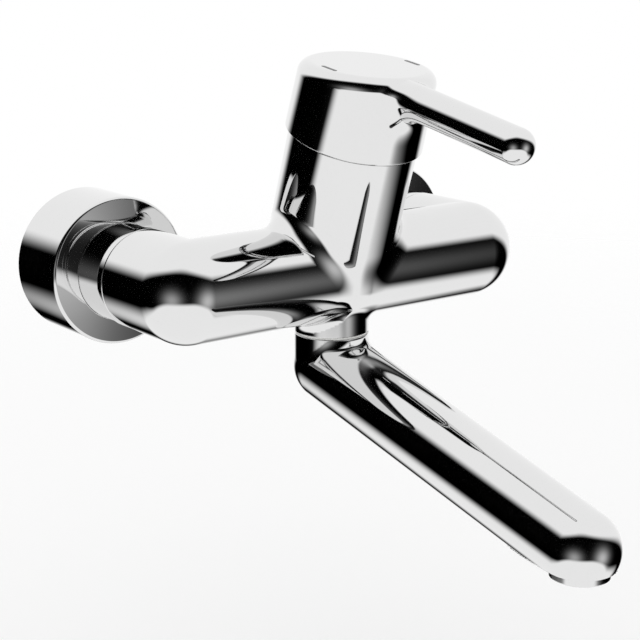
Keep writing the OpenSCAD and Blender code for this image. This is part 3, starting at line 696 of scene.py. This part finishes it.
def drilled(shell, skin, line, r, floor):
    """A round hole with a softened edge, along a line that runs outwards through the skin."""
    points, normals, faces = shell
    height, far, _ = line.split(points)
    mouth = r + DRILL_EDGE
    taken = (height > floor) & (far < mouth + DRILL_MARGIN)
    loop = border([face for face in faces if any(taken[i] for i in face)])[0]
    faces = [face for face in faces if not any(taken[i] for i in face)]
    _, _, ways = line.split(points[loop])
    place = points[loop] + (mouth - far[loop, None]) * ways
    for _ in range(DRILL_ROUNDS):
        gap, out = skin(place)
        place = place - (gap / (out @ line.axis))[:, None] * line.axis
    out = skin(place)[1]
    rings = [(place, out)]
    for cos, sin in QUARTER_TURN[1:]:
        rings.append((place + DRILL_EDGE * ((cos - 1) * out - sin * ways), unit(cos * out - sin * ways)))
    ground = line.at(floor) + r * ways
    rings += [(ground, -ways), (ground, np.broadcast_to(line.axis, ways.shape))]
    points, normals, faces = lined((points, normals, faces), loop, rings, line.at(floor))
    used = sorted({i for face in faces for i in face})
    fresh = {old: new for new, old in enumerate(used)}
    return points[used], normals[used], [[fresh[i] for i in face] for face in faces]


# Pieces


def linked(name, data):
    """A new object in the scene."""
    thing = bpy.data.objects.new(name, data)
    bpy.context.scene.collection.objects.link(thing)
    return thing


def mounted(piece, body, nodes):
    """The piece on its body, in place of CAD nodes."""
    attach(piece, body)
    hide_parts(*nodes)
    return piece


def make_piece(name, shell, body, slot, nodes):
    """A piece from points in millimetres with their own normals. Points in one place are welded."""
    points, normals, faces = shell
    places, where = np.unique(np.round(points, WELD_DIGITS), axis=0, return_inverse=True)
    where = where.reshape(-1).tolist()
    corners = [list({where[i]: int(i) for i in reversed(f)}.values())[::-1] for f in faces]
    corners = [f for f in corners if len(f) > 2]
    mesh = bpy.data.meshes.new(name)
    mesh.from_pydata((places * MM).tolist(), [], [[where[i] for i in f] for f in corners])
    mesh.shade_smooth()
    if not mesh.validate() and normals is not None:
        mesh.normals_split_custom_set([tuple(normals[i]) for f in corners for i in f])
    mesh.materials.append(FINISHES[slot])
    return mounted(linked(name, mesh), body, nodes)


def turned_piece(name, line, corners, body, slot, nodes):
    return make_piece(name, lathe(line, corners), body, slot, nodes)


def cast_mesh(skin, axes, low, high, step, cuts):
    """Shell and open loops of a skin inside a box of its own axes, cut by planes."""
    points, quads = net(skin, axes, low @ axes, np.subtract(high, low), step)
    points = relaxed(points, quads, skin)
    points, faces, loops = cut_open(points, quads, cuts, step)
    return (points, facing(points, skin), faces), loops


def body_casting():
    """Tube, arms, tower and neck with their bores."""
    into_wall = np.array([0.0, 1, 0])
    cuts = [(TOWER.at(TOWER_LEN - LIP), TOWER_UP)]
    cuts += [(inlet_line(side).at(INLET_FACE + LIP), into_wall) for side in SIDES]
    cuts.append((NECK.at(NECK_END - LIP), NECK.axis))
    wide = INLET_SPACING / 2 + BODY_R + BOX_MARGIN
    low = (-wide, -BODY_REACH - BODY_R - 4 * BOX_MARGIN, BODY_RISE - NECK_END - BOX_MARGIN)
    high = (wide, BOX_MARGIN - INLET_FACE, BODY_RISE + TOWER_LEN + 3 * BOX_MARGIN)
    shell, loops = cast_mesh(body_skin, np.eye(3), low, high, BODY_STEP, cuts)
    shell = bored(shell, loops[0], TOWER, stepped(
        TOWER_R, TOWER_LEN, LIP, (TOWER_BORE_R, CARTRIDGE_LEDGE), (CARTRIDGE_R, CARTRIDGE_SEAT)))
    for side, loop in zip(SIDES, loops[1:]):
        inlet = Line(inlet_line(side).at(INLET_FACE), into_wall)
        shell = bored(shell, loop, inlet, stepped(BODY_R, 0, LIP, (NIPPLE_R, -NIPPLE_GRIP)))
    shell = bored(shell, loops[-1], NECK, stepped(
        NECK_R, NECK_END, LIP / 2, (SPIGOT_R, NECK_END - SPIGOT_UP)))
    shell = drilled(shell, body_skin, SCREW, SCREW_R + FIT, SCREW_IN)
    make_piece("body_casting", shell, "mixer", "chrome", ["mixer_body"])


def lever_casting():
    """Cap and rod, hollow underneath around the boss."""
    axes = np.array([X_AXIS, -TOWER_FRONT, TOWER_UP])
    origin = axes @ TOWER.start
    wide = CAP_R + BOX_MARGIN
    low = origin + (-wide, -LEVER_LEN - BOX_MARGIN, CAP_BOTTOM - BOX_MARGIN)
    high = origin + (wide, wide, CAP_TOP + 3 * BOX_MARGIN)
    cuts = [(TOWER.at(CAP_BOTTOM + CAP_LIP), -TOWER_UP)]
    shell, loops = cast_mesh(lever_skin, axes, low, high, LEVER_STEP, cuts)
    under = Line(TOWER.at(CAP_BOTTOM), -TOWER_UP)
    inner = CAP_TOP_R - CAP_WALL
    shell = bored(shell, loops[0], under, [
        (CAP_R, -CAP_LIP, 0), (CAP_R, 0, CAP_BEVEL / 2), (CAP_HOLLOW_R, 0, CAP_MOUTH_EDGE),
        (CAP_HOLLOW_R, -CAP_RIM_H, BORE_FLOOR_EDGE), (inner, -CAP_RIM_H, BORE_EDGE),
        (inner, -CAP_HOLLOW_H, HOLLOW_EDGE), (BOSS_R, -CAP_HOLLOW_H, HOLLOW_EDGE),
        (BOSS_R, -BOSS_RISE, BOSS_EDGE)])
    shell = drilled(shell, lever_skin, PLUG, PLUG_R + PLUG_FIT, PLUG_IN + PLUG_SEAT)
    make_piece("lever_casting", shell, "lever", "chrome", ["lever_handle"])


def spout_casting():
    """Spout with the spigot's bore at its root and the aerator's at its tip."""
    axes = np.array([X_AXIS, -SPOUT_WAY, np.cross(X_AXIS, -SPOUT_WAY)])
    origin = axes @ SPOUT_ROOT
    wide = SPOUT_ROOT_R + BOX_MARGIN
    low = origin + (-wide, -SPOUT_LEN - SPOUT_TIP_R - BOX_MARGIN, -wide)
    high = origin + (wide, wide + BOX_MARGIN, wide + 3 * BOX_MARGIN)
    top = Line(NECK.at(SPOUT_TOP), -NECK.axis)
    cuts = [(top.at(-LIP), top.axis), (AERATOR.at(TIP_FLAT - LIP), AERATOR.axis)]
    shell, loops = cast_mesh(spout_skin, axes, low, high, SPOUT_STEP, cuts)
    shell = bored(shell, loops[0], top, stepped(NECK_R, 0, LIP / 2, (SPIGOT_R, -SPIGOT_DOWN)))
    shell = flat_tip(shell, loops[1])
    make_piece("spout_casting", shell, "spout", "chrome", ["spout"])


def flat_tip(shell, loop):
    """The machined flat under the spout's tip, with a rounded edge and the aerator's bore."""
    edge, normals = shell[0][loop], shell[1][loop]
    out = unit(normals - (normals @ AERATOR.axis)[:, None] * AERATOR.axis)
    rim = []
    for cos, sin in QUARTER_TURN[1:]:
        side = cos * out + sin * AERATOR.axis
        rim.append((edge + LIP * (side - out), side))
    bore = AERATOR_THREAD_R + FIT
    floor = TIP_FLAT - AERATOR_THREAD_LEN - AERATOR_WASHER_H
    corners = [(2 * bore, TIP_FLAT, 0), (bore, TIP_FLAT, BORE_EDGE), (bore, floor, BORE_FLOOR_EDGE)]
    return bored(shell, loop, AERATOR, corners, rim)


def inlet_trim(side):
    """Rose, sleeve and trim ring of one inlet."""
    word = SIDE_NAMES[side]
    line = inlet_line(side)
    inner, hole, back = ROSE_R - ROSE_WALL, SLEEVE_R + FIT, ROSE_DEPTH - ROSE_WALL
    front = ROSE_DEPTH + (ROSE_R - ROSE_EDGE - hole) * math.tan(ROSE_SLOPE)
    turned_piece("rose_cup_" + word, line, [
        (ROSE_R, 0, FOOT_EDGE), (ROSE_R, ROSE_DEPTH, ROSE_EDGE), (hole, front, BORE_EDGE),
        (hole, back, BORE_EDGE), (inner, back, ROSE_INNER_EDGE), (inner, 0, FOOT_EDGE),
    ], "mixer", "chrome", ["rose_" + word])
    bore = SLEEVE_R - SLEEVE_WALL
    start, end, back = SLEEVE_END - SLEEVE_LEN, SLEEVE_END, SLEEVE_END - SLEEVE_WALL
    turned_piece("sleeve_" + word, line, [
        (SLEEVE_R, start, FOOT_EDGE), (SLEEVE_R, end, SLEEVE_EDGE), (NIPPLE_R, end, BORE_EDGE),
        (NIPPLE_R, back, BORE_EDGE), (bore, back, SLEEVE_INNER_EDGE), (bore, start, FOOT_EDGE),
    ], "mixer", "chrome", ["nut_sleeve_" + word])
    turned_piece("trim_band_" + word, line, [
        (BODY_R, end, TRIM_EDGE), (BODY_R, INLET_FACE, BORE_EDGE),
        (NIPPLE_R, INLET_FACE, BORE_EDGE), (NIPPLE_R, end, BORE_EDGE),
    ], "mixer", "chrome", ["trim_ring_" + word])


def ball_corner(r, low, high):
    """Corner where the dome's tangents at two heights meet, rounded to the dome."""
    first, second = (math.asin((h - PIVOT) / r) for h in (low, high))
    reach = r / math.cos((second - first) / 2)
    middle = (first + second) / 2
    return reach * math.cos(middle), PIVOT + reach * math.sin(middle), r


def dome_cover():
    """Thin dome over the cartridge, under the cap."""
    foot, inner = TOWER_BORE_R - FIT, DOME_R - DOME_WALL
    top, inner_top = (PIVOT + math.sqrt(r**2 - DOME_OPENING_R**2) for r in (DOME_R, inner))
    brim = math.sqrt(DOME_R**2 - (TOWER_LEN - PIVOT)**2)
    inner_foot = math.sqrt(inner**2 - (NUT_TOP - PIVOT)**2)
    turned_piece("dome_shell", TOWER, [
        (foot, NUT_TOP, DOME_EDGE), (foot, TOWER_LEN, DOME_EDGE), (brim, TOWER_LEN, 0),
        ball_corner(DOME_R, TOWER_LEN, top), (DOME_OPENING_R, top, 0), (DOME_OPENING_R, inner_top, 0),
        ball_corner(inner, NUT_TOP, inner_top), (inner_foot, NUT_TOP, 0),
    ], "mixer", "chrome", ["dome_cover"])


def slide_washer():
    """Thin ring that the spout turns on, under the neck."""
    r, inner, start = NECK_R - SLIDE_RING_INSET, SPIGOT_R - SLIDE_RING_FIT, NECK_END + TURN_FIT
    corners = [(r, start), (r, SPOUT_TOP), (inner, SPOUT_TOP), (inner, start)]
    turned_piece("slide_washer", NECK, [(*corner, FINE_EDGE) for corner in corners],
                 "spout", "white_plastic", ["slide_ring"])


def aerator():
    """Ring under the spout's tip and the jet plate in it."""
    low, seat = TIP_FLAT + AERATOR_RING_H, TIP_FLAT - AERATOR_THREAD_LEN
    plate = low - INSERT_RECESS
    turned_piece("aerator_ring", AERATOR, [
        (AERATOR_THREAD_R, seat, BORE_EDGE), (AERATOR_THREAD_R, TIP_FLAT, 0), (AERATOR_R, TIP_FLAT, BORE_EDGE),
        (AERATOR_R, low, AERATOR_EDGE), (AERATOR_MOUTH_R, low, BORE_EDGE),
        (AERATOR_MOUTH_R, plate, BORE_FLOOR_EDGE), (AERATOR_BORE_R, plate, BORE_FLOOR_EDGE),
        (AERATOR_BORE_R, seat, BORE_EDGE),
    ], "spout", "chrome", ["aerator_housing"])
    r = AERATOR_BORE_R - FIT
    corners = [(0, seat, 0), (r, seat, BORE_EDGE), (r, plate, PLATE_EDGE)]
    for i in range(JET_RINGS, 0, -1):
        outer, inner = i * JET_PITCH + JET_W / 2, i * JET_PITCH - JET_W / 2
        corners += [(outer, plate, FINE_EDGE), (outer, plate - JET_W, BORE_FLOOR_EDGE),
                    (inner, plate - JET_W, BORE_FLOOR_EDGE), (inner, plate, FINE_EDGE)]
    corners.append((0, plate, 0))
    turned_piece("aerator_plate", AERATOR, corners, "spout", "white_plastic", ["aerator_insert"])
    values = {
        "Pitch": JET_PITCH * MM, "Ribs": JET_RIBS, "Rib Radius": RIB_R * MM, "Rib Length": RIB_LEN * MM,
        "Place": tuple(AERATOR.at(plate - RIB_DEPTH) * MM),
    }
    grown_piece("aerator_ribs", rib_tree(), values, "spout", "white_plastic", ["aerator_insert"])


def cap_mark(side):
    """Oblong inlay in the cap's face."""
    straight, half = (MARK_LEN - MARK_W) / 2, MARK_W / 2
    middle = TOWER.at(CAP_TOP) + side * MARK_X * X_AXIS + MARK_FORWARD * CAP_FACE_FRONT
    angle = np.linspace(0, math.pi, MARK_TURNS)
    angle = np.concatenate([angle, angle + math.pi])
    out = np.cos(angle)[:, None] * X_AXIS + np.sin(angle)[:, None] * CAP_FACE_FRONT
    ends = middle + np.repeat([straight, -straight], MARK_TURNS)[:, None] * CAP_FACE_FRONT
    rows = [(half, -MARK_DEPTH, 1.0, 0.0)]
    for cos, sin in QUARTER_TURN:
        rows.append((half - MARK_EDGE * (1 - cos), MARK_PROUD - MARK_EDGE * (1 - sin), cos, sin))
    points = np.concatenate([ends + r * out + h * CAP_FACE_OUT for r, h, _, _ in rows])
    normals = np.concatenate([cos * out + sin * CAP_FACE_OUT for _, _, cos, sin in rows])
    faces = [face[::-1] for face in stacked(len(angle), len(rows))]
    word = SIDE_NAMES[side]
    make_piece("inlay_" + word, (points, normals, faces), "lever", "mark_inlay", [word + "_mark"])


def grub_cover():
    """Plug in the back of the cap."""
    foot, crown = PLUG_IN + PLUG_GAP, PLUG_OUT + PLUG_CROWN
    turned_piece("grub_cover", PLUG, [
        (0, foot, 0), (PLUG_R, foot, PLUG_FOOT_EDGE), (PLUG_R, PLUG_OUT, PLUG_EDGE), (0, crown, 0),
    ], "lever", "grey_plastic", ["grub_plug"])


def neck_screw():
    """Socket screw that keeps the spout in the neck."""
    angle, ways = SCREW.around(SCREW_TURNS)
    off = (angle + math.pi / 6) % (math.pi / 3) - math.pi / 6
    hexagon = (SCREW_R / 2 / np.cos(off))[:, None] * ways
    rows = [SCREW.at(SCREW_IN + FIT) + SCREW_R * ways]
    for cos, sin in QUARTER_TURN:
        r = SCREW_R - SCREW_EDGE * (1 - cos)
        rows.append(SCREW.at(SCREW_OUT - SCREW_EDGE * (1 - sin)) + r * ways)
    rows += [SCREW.at(SCREW_OUT) + hexagon, SCREW.at(SCREW_OUT - SCREW_SOCKET) + hexagon]
    shell = np.concatenate(rows), None, stacked(SCREW_TURNS, len(rows))
    piece = make_piece("neck_screw_end", shell, "mixer", "steel", ["neck_screw"])
    piece.data.set_sharp_from_angle(angle=SCREW_SHARP)


def wall_union(side):
    """Offset union between the wall and the body: two turned stubs on a hexagon."""
    word = SIDE_NAMES[side]
    node = ["s_union_" + word]
    wall, inlet = inlet_line(side, 0), inlet_line(side)
    stub = WALL_THREAD_R - THREAD_DEPTH
    turned_piece("wall_stub_" + word, wall, [
        (stub, -WALL_THREAD_LEN, STUB_EDGE), (stub, WALL_LAP, 0),
        (WALL_BORE_R, WALL_LAP, 0), (WALL_BORE_R, -WALL_THREAD_LEN, STUB_SOFT_EDGE),
    ], "mixer", "brass", node)
    stub, start = UNION_THREAD_R - THREAD_DEPTH, UNION_HEX_LEN - UNION_LAP
    turned_piece("union_stub_" + word, inlet, [
        (stub, start, 0), (stub, UNION_THREAD_END, STUB_SOFT_EDGE),
        (UNION_BORE_R, UNION_THREAD_END, STUB_EDGE), (UNION_BORE_R, start, 0),
    ], "mixer", "brass", node)
    make_piece("union_hexagon_" + word, hexagon_shell(wall), "mixer", "brass", node)


def hexagon_shell(line):
    """The union's hexagon with softened edges."""
    shape = bmesh.new()
    _, ways = line.around(6)
    reach = UNION_HEX_FLATS / math.sqrt(3)
    low, high = ([shape.verts.new(line.at(h) + reach * way) for way in ways] for h in (0, UNION_HEX_LEN))
    for face in (low[::-1], high, *band(low, high)):
        shape.faces.new(face)
    bmesh.ops.bevel(shape, geom=shape.edges[:], offset=HEX_EDGE, segments=4, profile=0.5, affect="EDGES")
    shape.normal_update()
    sides = [np.array(face.normal) * face.calc_area() for face in shape.faces]
    points, faces = read_out(shape)
    normals = np.zeros_like(points)
    for face, side in zip(faces, sides):
        normals[face] += side
    return points, unit(normals), faces


# Nodes


def feed(tree, socket, value):
    if isinstance(value, bpy.types.NodeSocket):
        tree.links.new(value, socket)
    else:
        socket.default_value = value


def node_out(tree, kind, feeds, out=0, **settings):
    """An output of a new node with these inputs."""
    node = tree.nodes.new(kind)
    for label, value in settings.items():
        setattr(node, label, value)
    for label, value in feeds.items():
        feed(tree, node.inputs[label], value)
    return node.outputs[out]


def math_out(tree, operation, *inputs):
    """Output of a math node whose inputs are sockets or numbers."""
    return node_out(tree, "ShaderNodeMath", dict(enumerate(inputs)), operation=operation)


def ramp_out(tree, value, low, high, out_low=0.0, out_high=1.0):
    """Smooth step of a value between two levels."""
    return node_out(tree, "ShaderNodeMapRange", {
        "Value": value, "From Min": low, "From Max": high, "To Min": out_low, "To Max": out_high,
    }, interpolation_type="SMOOTHSTEP")


def new_tree(name, kind, inputs, outputs):
    """An empty node tree with these named sockets, and the sockets of its input and output nodes."""
    tree = bpy.data.node_groups.new(name, kind)
    for way, sockets in (("INPUT", inputs), ("OUTPUT", outputs)):
        for label, sort in sockets:
            tree.interface.new_socket(label, in_out=way, socket_type="NodeSocket" + sort)
    return tree, tree.nodes.new("NodeGroupInput").outputs, tree.nodes.new("NodeGroupOutput").inputs


# Geometry nodes


def thread_tree():
    """A raised thread that fades in and out, at both inlets."""
    tree, given, result = new_tree("screw_thread", "GeometryNodeTree", (
        ("Radius", "Float"), ("Length", "Float"), ("Pitch", "Float"), ("Ridge", "Float"),
        ("Place", "Vector"), ("Spacing", "Vector")), [("Geometry", "Geometry")])
    turns = math_out(tree, "DIVIDE", given["Length"], given["Pitch"])
    path = node_out(tree, "GeometryNodeCurveSpiral", {
        "Resolution": THREAD_STEPS, "Rotations": turns, "Start Radius": given["Radius"],
        "End Radius": given["Radius"], "Height": given["Length"]})
    along = tree.nodes.new("GeometryNodeSplineParameter").outputs["Factor"]
    fade = math_out(tree, "DIVIDE", THREAD_FADE, turns)
    rise = ramp_out(tree, along, 0.0, fade, THREAD_TIP)
    fall = ramp_out(tree, math_out(tree, "SUBTRACT", 1.0, along), 0.0, fade, THREAD_TIP)
    profile = node_out(tree, "GeometryNodeCurvePrimitiveCircle", {
        "Resolution": THREAD_SIDES, "Radius": given["Ridge"]})
    ridge = node_out(tree, "GeometryNodeCurveToMesh", {
        "Curve": path, "Profile Curve": profile, "Scale": math_out(tree, "MULTIPLY", rise, fall),
        "Fill Caps": True})
    ridge = node_out(tree, "GeometryNodeTransform", {"Geometry": ridge, "Rotation": (math.pi / 2, 0, 0)})
    places = node_out(tree, "GeometryNodeMeshLine", {
        "Count": len(SIDES), "Start Location": given["Place"], "Offset": given["Spacing"]})
    both = node_out(tree, "GeometryNodeInstanceOnPoints", {"Points": places, "Instance": ridge})
    tree.links.new(node_out(tree, "GeometryNodeRealizeInstances", {"Geometry": both}), result[0])
    return tree


def rib_tree():
    """Short ribs across the ring grooves of the jet plate."""
    tree, given, result = new_tree("jet_ribs", "GeometryNodeTree", (
        ("Pitch", "Float"), ("Ribs", "Int"), ("Rib Radius", "Float"), ("Rib Length", "Float"),
        ("Place", "Vector")), [("Geometry", "Geometry")])
    rib = node_out(tree, "GeometryNodeMeshCylinder", {
        "Vertices": RIB_SIDES, "Radius": given["Rib Radius"], "Depth": given["Rib Length"]})
    place = tree.nodes.new("GeometryNodeInputPosition").outputs[0]
    outwards = node_out(tree, "FunctionNodeAlignRotationToVector", {"Vector": place}, axis="Z")
    rows = tree.nodes.new("GeometryNodeJoinGeometry")
    for ring in range(1, JET_RINGS + 1):
        circle = node_out(tree, "GeometryNodeMeshCircle", {
            "Vertices": math_out(tree, "MULTIPLY", given["Ribs"], ring),
            "Radius": math_out(tree, "MULTIPLY", given["Pitch"], ring)})
        row = node_out(tree, "GeometryNodeInstanceOnPoints", {
            "Points": circle, "Instance": rib, "Rotation": outwards})
        tree.links.new(row, rows.inputs[0])
    ribs = node_out(tree, "GeometryNodeRealizeInstances", {"Geometry": rows.outputs[0]})
    ribs = node_out(tree, "GeometryNodeTransform", {"Geometry": ribs, "Translation": given["Place"]})
    tree.links.new(ribs, result[0])
    return tree


def grown_piece(name, tree, values, body, slot, nodes):
    """A plain mesh piece from a geometry node tree with these inputs."""
    piece = linked(name, bpy.data.meshes.new(name))
    modifier = piece.modifiers.new(name, "NODES")
    modifier.node_group = tree
    for item in tree.interface.items_tree:
        if item.in_out == "INPUT":
            modifier[item.identifier] = values[item.name]
    view = bpy.context.evaluated_depsgraph_get()
    mesh = bpy.data.meshes.new_from_object(piece.evaluated_get(view))
    piece.modifiers.clear()
    piece.data = mesh
    mesh.materials.clear()
    mesh.materials.append(FINISHES[slot])
    mesh.shade_smooth()
    mesh.set_sharp_from_angle(angle=GROWN_SHARP)
    mounted(piece, body, nodes)


def union_threads():
    """Threads on the wall stubs and under the union nuts."""
    tree = thread_tree()
    nodes = ["s_union_" + word for word in SIDE_NAMES.values()]
    spans = {
        "wall_threads": (WALL_THREAD_R, inlet_line(HOT, 0), -WALL_THREAD_LEN, 0),
        "nut_threads": (UNION_THREAD_R, inlet_line(HOT), UNION_HEX_LEN, UNION_THREAD_END),
    }
    for name, (r, line, start, end) in spans.items():
        start, end = start + THREAD_MARGIN, end - THREAD_MARGIN
        values = {
            "Radius": (r - THREAD_RIDGE) * MM, "Length": (end - start) * MM, "Pitch": THREAD_PITCH * MM,
            "Ridge": THREAD_RIDGE * MM, "Place": tuple(line.at(start) * MM),
            "Spacing": (INLET_SPACING * MM, 0.0, 0.0),
        }
        grown_piece(name, tree, values, "mixer", "brass", nodes)


# Finishes


def surface_group():
    """Shared by every finish: slow drift, fine hairlines and pores, as values from 0 to 1."""
    sockets = ([(label, "Float") for label in labels] for labels in (SURFACE_SCALES, SURFACE_MARKS))
    group, given, result = new_tree("surface_marks", "ShaderNodeTree", *sockets)
    coords = node_out(group, "ShaderNodeTexCoord", {}, "Object")
    stretched = node_out(group, "ShaderNodeMapping", {
        "Vector": coords, "Rotation": HAIRLINE_TURN, "Scale": HAIRLINE_STRETCH})
    places = coords, stretched, coords
    for label, scale, place, detail in zip(SURFACE_MARKS, SURFACE_SCALES, places, SURFACE_DETAIL):
        noise = node_out(group, "ShaderNodeTexNoise", {
            "Vector": place, "Scale": given[scale], "Detail": detail})
        feed(group, result[label], ramp_out(group, noise, *SURFACE_RANGE))
    return group


def new_material(name):
    """A node material, its tree and its shader."""
    material = bpy.data.materials.new(name)
    material.use_nodes = True
    return material, material.node_tree, material.node_tree.nodes["Principled BSDF"]


def finish_material(name, group, color, rough, metal, scales, shade, bump):
    """Principled finish whose roughness, tone and bump follow the shared surface marks."""
    material, tree, shader = new_material(name)
    marks = tree.nodes.new("ShaderNodeGroup")
    marks.node_tree = group
    for label, value in zip(SURFACE_SCALES, scales):
        marks.inputs[label].default_value = value
    drift, hair, pores = (marks.outputs[label] for label in SURFACE_MARKS)
    wear = math_out(tree, "MULTIPLY", drift, 1 - HAIRLINE_SHARE)
    wear = math_out(tree, "MULTIPLY_ADD", hair, HAIRLINE_SHARE, wear)
    low, high = rough
    feed(tree, shader.inputs["Roughness"], math_out(tree, "MULTIPLY_ADD", wear, high - low, low))
    worn = [c * shade for c in color]
    feed(tree, shader.inputs["Base Color"], node_out(tree, "ShaderNodeMix", {
        "Factor": wear, MIX_FIRST: (*color, 1), MIX_SECOND: (*worn, 1)}, MIX_RESULT, data_type="RGBA"))
    shader.inputs["Metallic"].default_value = metal
    if bump:
        relief = node_out(tree, "ShaderNodeBump", {"Strength": 1.0, "Distance": bump, "Height": pores})
        tree.links.new(relief, shader.inputs["Normal"])
    return material


def finishes():
    """Makes a material for each of the record's slots."""
    group = surface_group()
    looks = {
        "chrome": ((0.785, 0.785, 0.785), (0.02, 0.045), 1.0, (25, 90, 900), 0.985, 0),
        "brass": ((0.70, 0.51, 0.25), (0.2, 0.36), 1.0, (60, 120, 1500), 0.8, 4e-6),
        "steel": ((0.58, 0.58, 0.59), (0.18, 0.32), 1.0, (80, 150, 1500), 0.85, 3e-6),
        "ceramic": ((0.9, 0.9, 0.87), (0.18, 0.28), 0.0, (60, 100, 2500), 0.95, 2e-6),
        "white_plastic": ((0.83, 0.83, 0.81), (0.34, 0.46), 0.0, (80, 120, 2200), 0.94, 8e-6),
        "dark_plastic": ((0.03, 0.03, 0.032), (0.38, 0.52), 0.0, (80, 120, 2200), 0.75, 8e-6),
        "grey_plastic": ((0.45, 0.46, 0.47), (0.3, 0.42), 0.0, (80, 120, 2200), 0.9, 6e-6),
        "mark_inlay": ((0.012, 0.012, 0.013), (0.22, 0.34), 0.0, (150, 250, 2500), 0.7, 3e-6),
        "rubber": ((0.02, 0.02, 0.02), (0.6, 0.75), 0.0, (100, 150, 1800), 0.75, 1.2e-5),
    }
    for slot, look in looks.items():
        FINISHES[slot] = finish_material(slot, group, *look)


def repaint(frame):
    """Gives each CAD node the finish of its slot."""
    slots = {item["node"]: item["material_slot"] for item in frame["record"]["subparts"]}
    for name, node in frame["nodes"].items():
        for place in node.material_slots:
            place.material = FINISHES[slots[name]]


# Studio


def glow_out(calc, turn, rise, place, spread, strength):
    """A soft round glow on the dark side of the studio."""
    total = 0.0
    for value, middle, width in zip((turn, rise), place, spread):
        off = calc("DIVIDE", calc("SUBTRACT", value, math.radians(middle)), math.radians(width))
        total = calc("MULTIPLY_ADD", off, off, total)
    return calc("MULTIPLY", calc("EXPONENT", calc("MULTIPLY", total, -0.5)), strength)


def studio_world():
    """White all round, with a dark arched opening on the camera's side that only gloss shows."""
    world = bpy.data.worlds.new("studio")
    bpy.context.scene.world = world
    world.use_nodes = True
    tree = world.node_tree
    tree.nodes.clear()
    calc, ramp = functools.partial(math_out, tree), functools.partial(ramp_out, tree)
    look = node_out(tree, "ShaderNodeTexCoord", {}, "Generated")
    look = node_out(tree, "ShaderNodeMapping", {"Vector": look, "Rotation": (0, 0, -ARCH_MIDDLE)})
    parts = tree.nodes.new("ShaderNodeSeparateXYZ")
    tree.links.new(look, parts.inputs[0])
    aside, back, up = parts.outputs
    turn = calc("ARCTAN2", aside, calc("MULTIPLY", back, -1.0))
    rise = calc("ARCSINE", up)
    swing = calc("ABSOLUTE", turn)
    arch = calc("MULTIPLY", calc("COSINE", calc("MULTIPLY", turn, ARCH_NARROWING)), ARCH_TOP)
    over = ramp(calc("SUBTRACT", rise, arch), -ARCH_SOFT, ARCH_SOFT)
    sill = SILL_MIDDLE
    for near, far, drop in SILL_STEPS:
        sill = calc("ADD", ramp(swing, math.radians(near), math.radians(far), 0.0, math.radians(drop)), sill)
    lean = calc("MULTIPLY", calc("SINE", turn), SILL_LEAN)
    sill = calc("MULTIPLY_ADD", lean, ramp(swing, *SILL_LEAN_SPAN), sill)
    below = calc("DIVIDE", calc("SUBTRACT", sill, rise), ramp(swing, *SILL_LEAN_SPAN, *SILL_SOFT))
    under = ramp(below, -1.0, 1.0)
    clear = calc("MULTIPLY", calc("SUBTRACT", 1.0, over), calc("SUBTRACT", 1.0, under))
    glow = 0.0
    for place, spread, strength in GLOWS:
        glow = calc("ADD", glow_out(calc, turn, rise, place, spread, strength), glow)
    dark = calc("MULTIPLY", clear, calc("SUBTRACT", 1.0, glow))
    gloss = node_out(tree, "ShaderNodeLightPath", {}, "Is Glossy Ray")
    light = calc("SUBTRACT", 1.0, calc("MULTIPLY", dark, gloss))
    background = node_out(tree, "ShaderNodeBackground", {"Color": light})
    tree.links.new(background, tree.nodes.new("ShaderNodeOutputWorld").inputs["Surface"])


def floor_material():
    """Pale floor that fades out into the white surroundings and can't be seen from below."""
    material, tree, shader = new_material("pale_floor")
    shader.inputs["Base Color"].default_value = (*[FLOOR_TONE] * 3, 1)
    shader.inputs["Roughness"].default_value = FLOOR_ROUGHNESS
    shader.inputs["Specular IOR Level"].default_value = 0.0
    coords = node_out(tree, "ShaderNodeTexCoord", {}, "Object")
    length = node_out(tree, "ShaderNodeVectorMath", {0: coords}, "Value", operation="LENGTH")
    below = node_out(tree, "ShaderNodeNewGeometry", {}, "Backfacing")
    fade = math_out(tree, "MAXIMUM", ramp_out(tree, length, FLOOR_FADE_R, FLOOR_R), below)
    clear = node_out(tree, "ShaderNodeBsdfTransparent", {})
    mix = node_out(tree, "ShaderNodeMixShader", {0: fade, 1: shader.outputs[0], 2: clear})
    tree.links.new(mix, tree.nodes["Material Output"].inputs["Surface"])
    return material


def pale_floor():
    """Round floor under the tap."""
    mesh = bpy.data.meshes.new("floor")
    shape = bmesh.new()
    bmesh.ops.create_circle(shape, cap_ends=True, segments=FLOOR_SIDES, radius=FLOOR_R)
    shape.to_mesh(mesh)
    shape.free()
    mesh.materials.append(floor_material())
    floor = linked("floor", mesh)
    floor.location = (0, FLOOR_MIDDLE, FLOOR_Z)
    floor.visible_glossy = False


def place_camera():
    """The photograph's camera."""
    data = bpy.data.cameras.new("camera")
    data.lens = CAMERA_LENS
    data.sensor_width = CAMERA_SENSOR
    camera = linked("camera", data)
    camera.location = CAMERA_PLACE
    camera.rotation_euler = (math.pi / 2 - CAMERA_PITCH, 0, -CAMERA_YAW)
    bpy.context.scene.camera = camera


def main():
    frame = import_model()
    finishes()
    repaint(frame)
    body_casting()
    dome_cover()
    neck_screw()
    lever_casting()
    grub_cover()
    spout_casting()
    slide_washer()
    aerator()
    for side in SIDES:
        inlet_trim(side)
        wall_union(side)
        cap_mark(side)
    union_threads()
    place_camera()
    studio_world()
    pale_floor()
    bpy.context.scene.view_settings.view_transform = "Standard"


main()
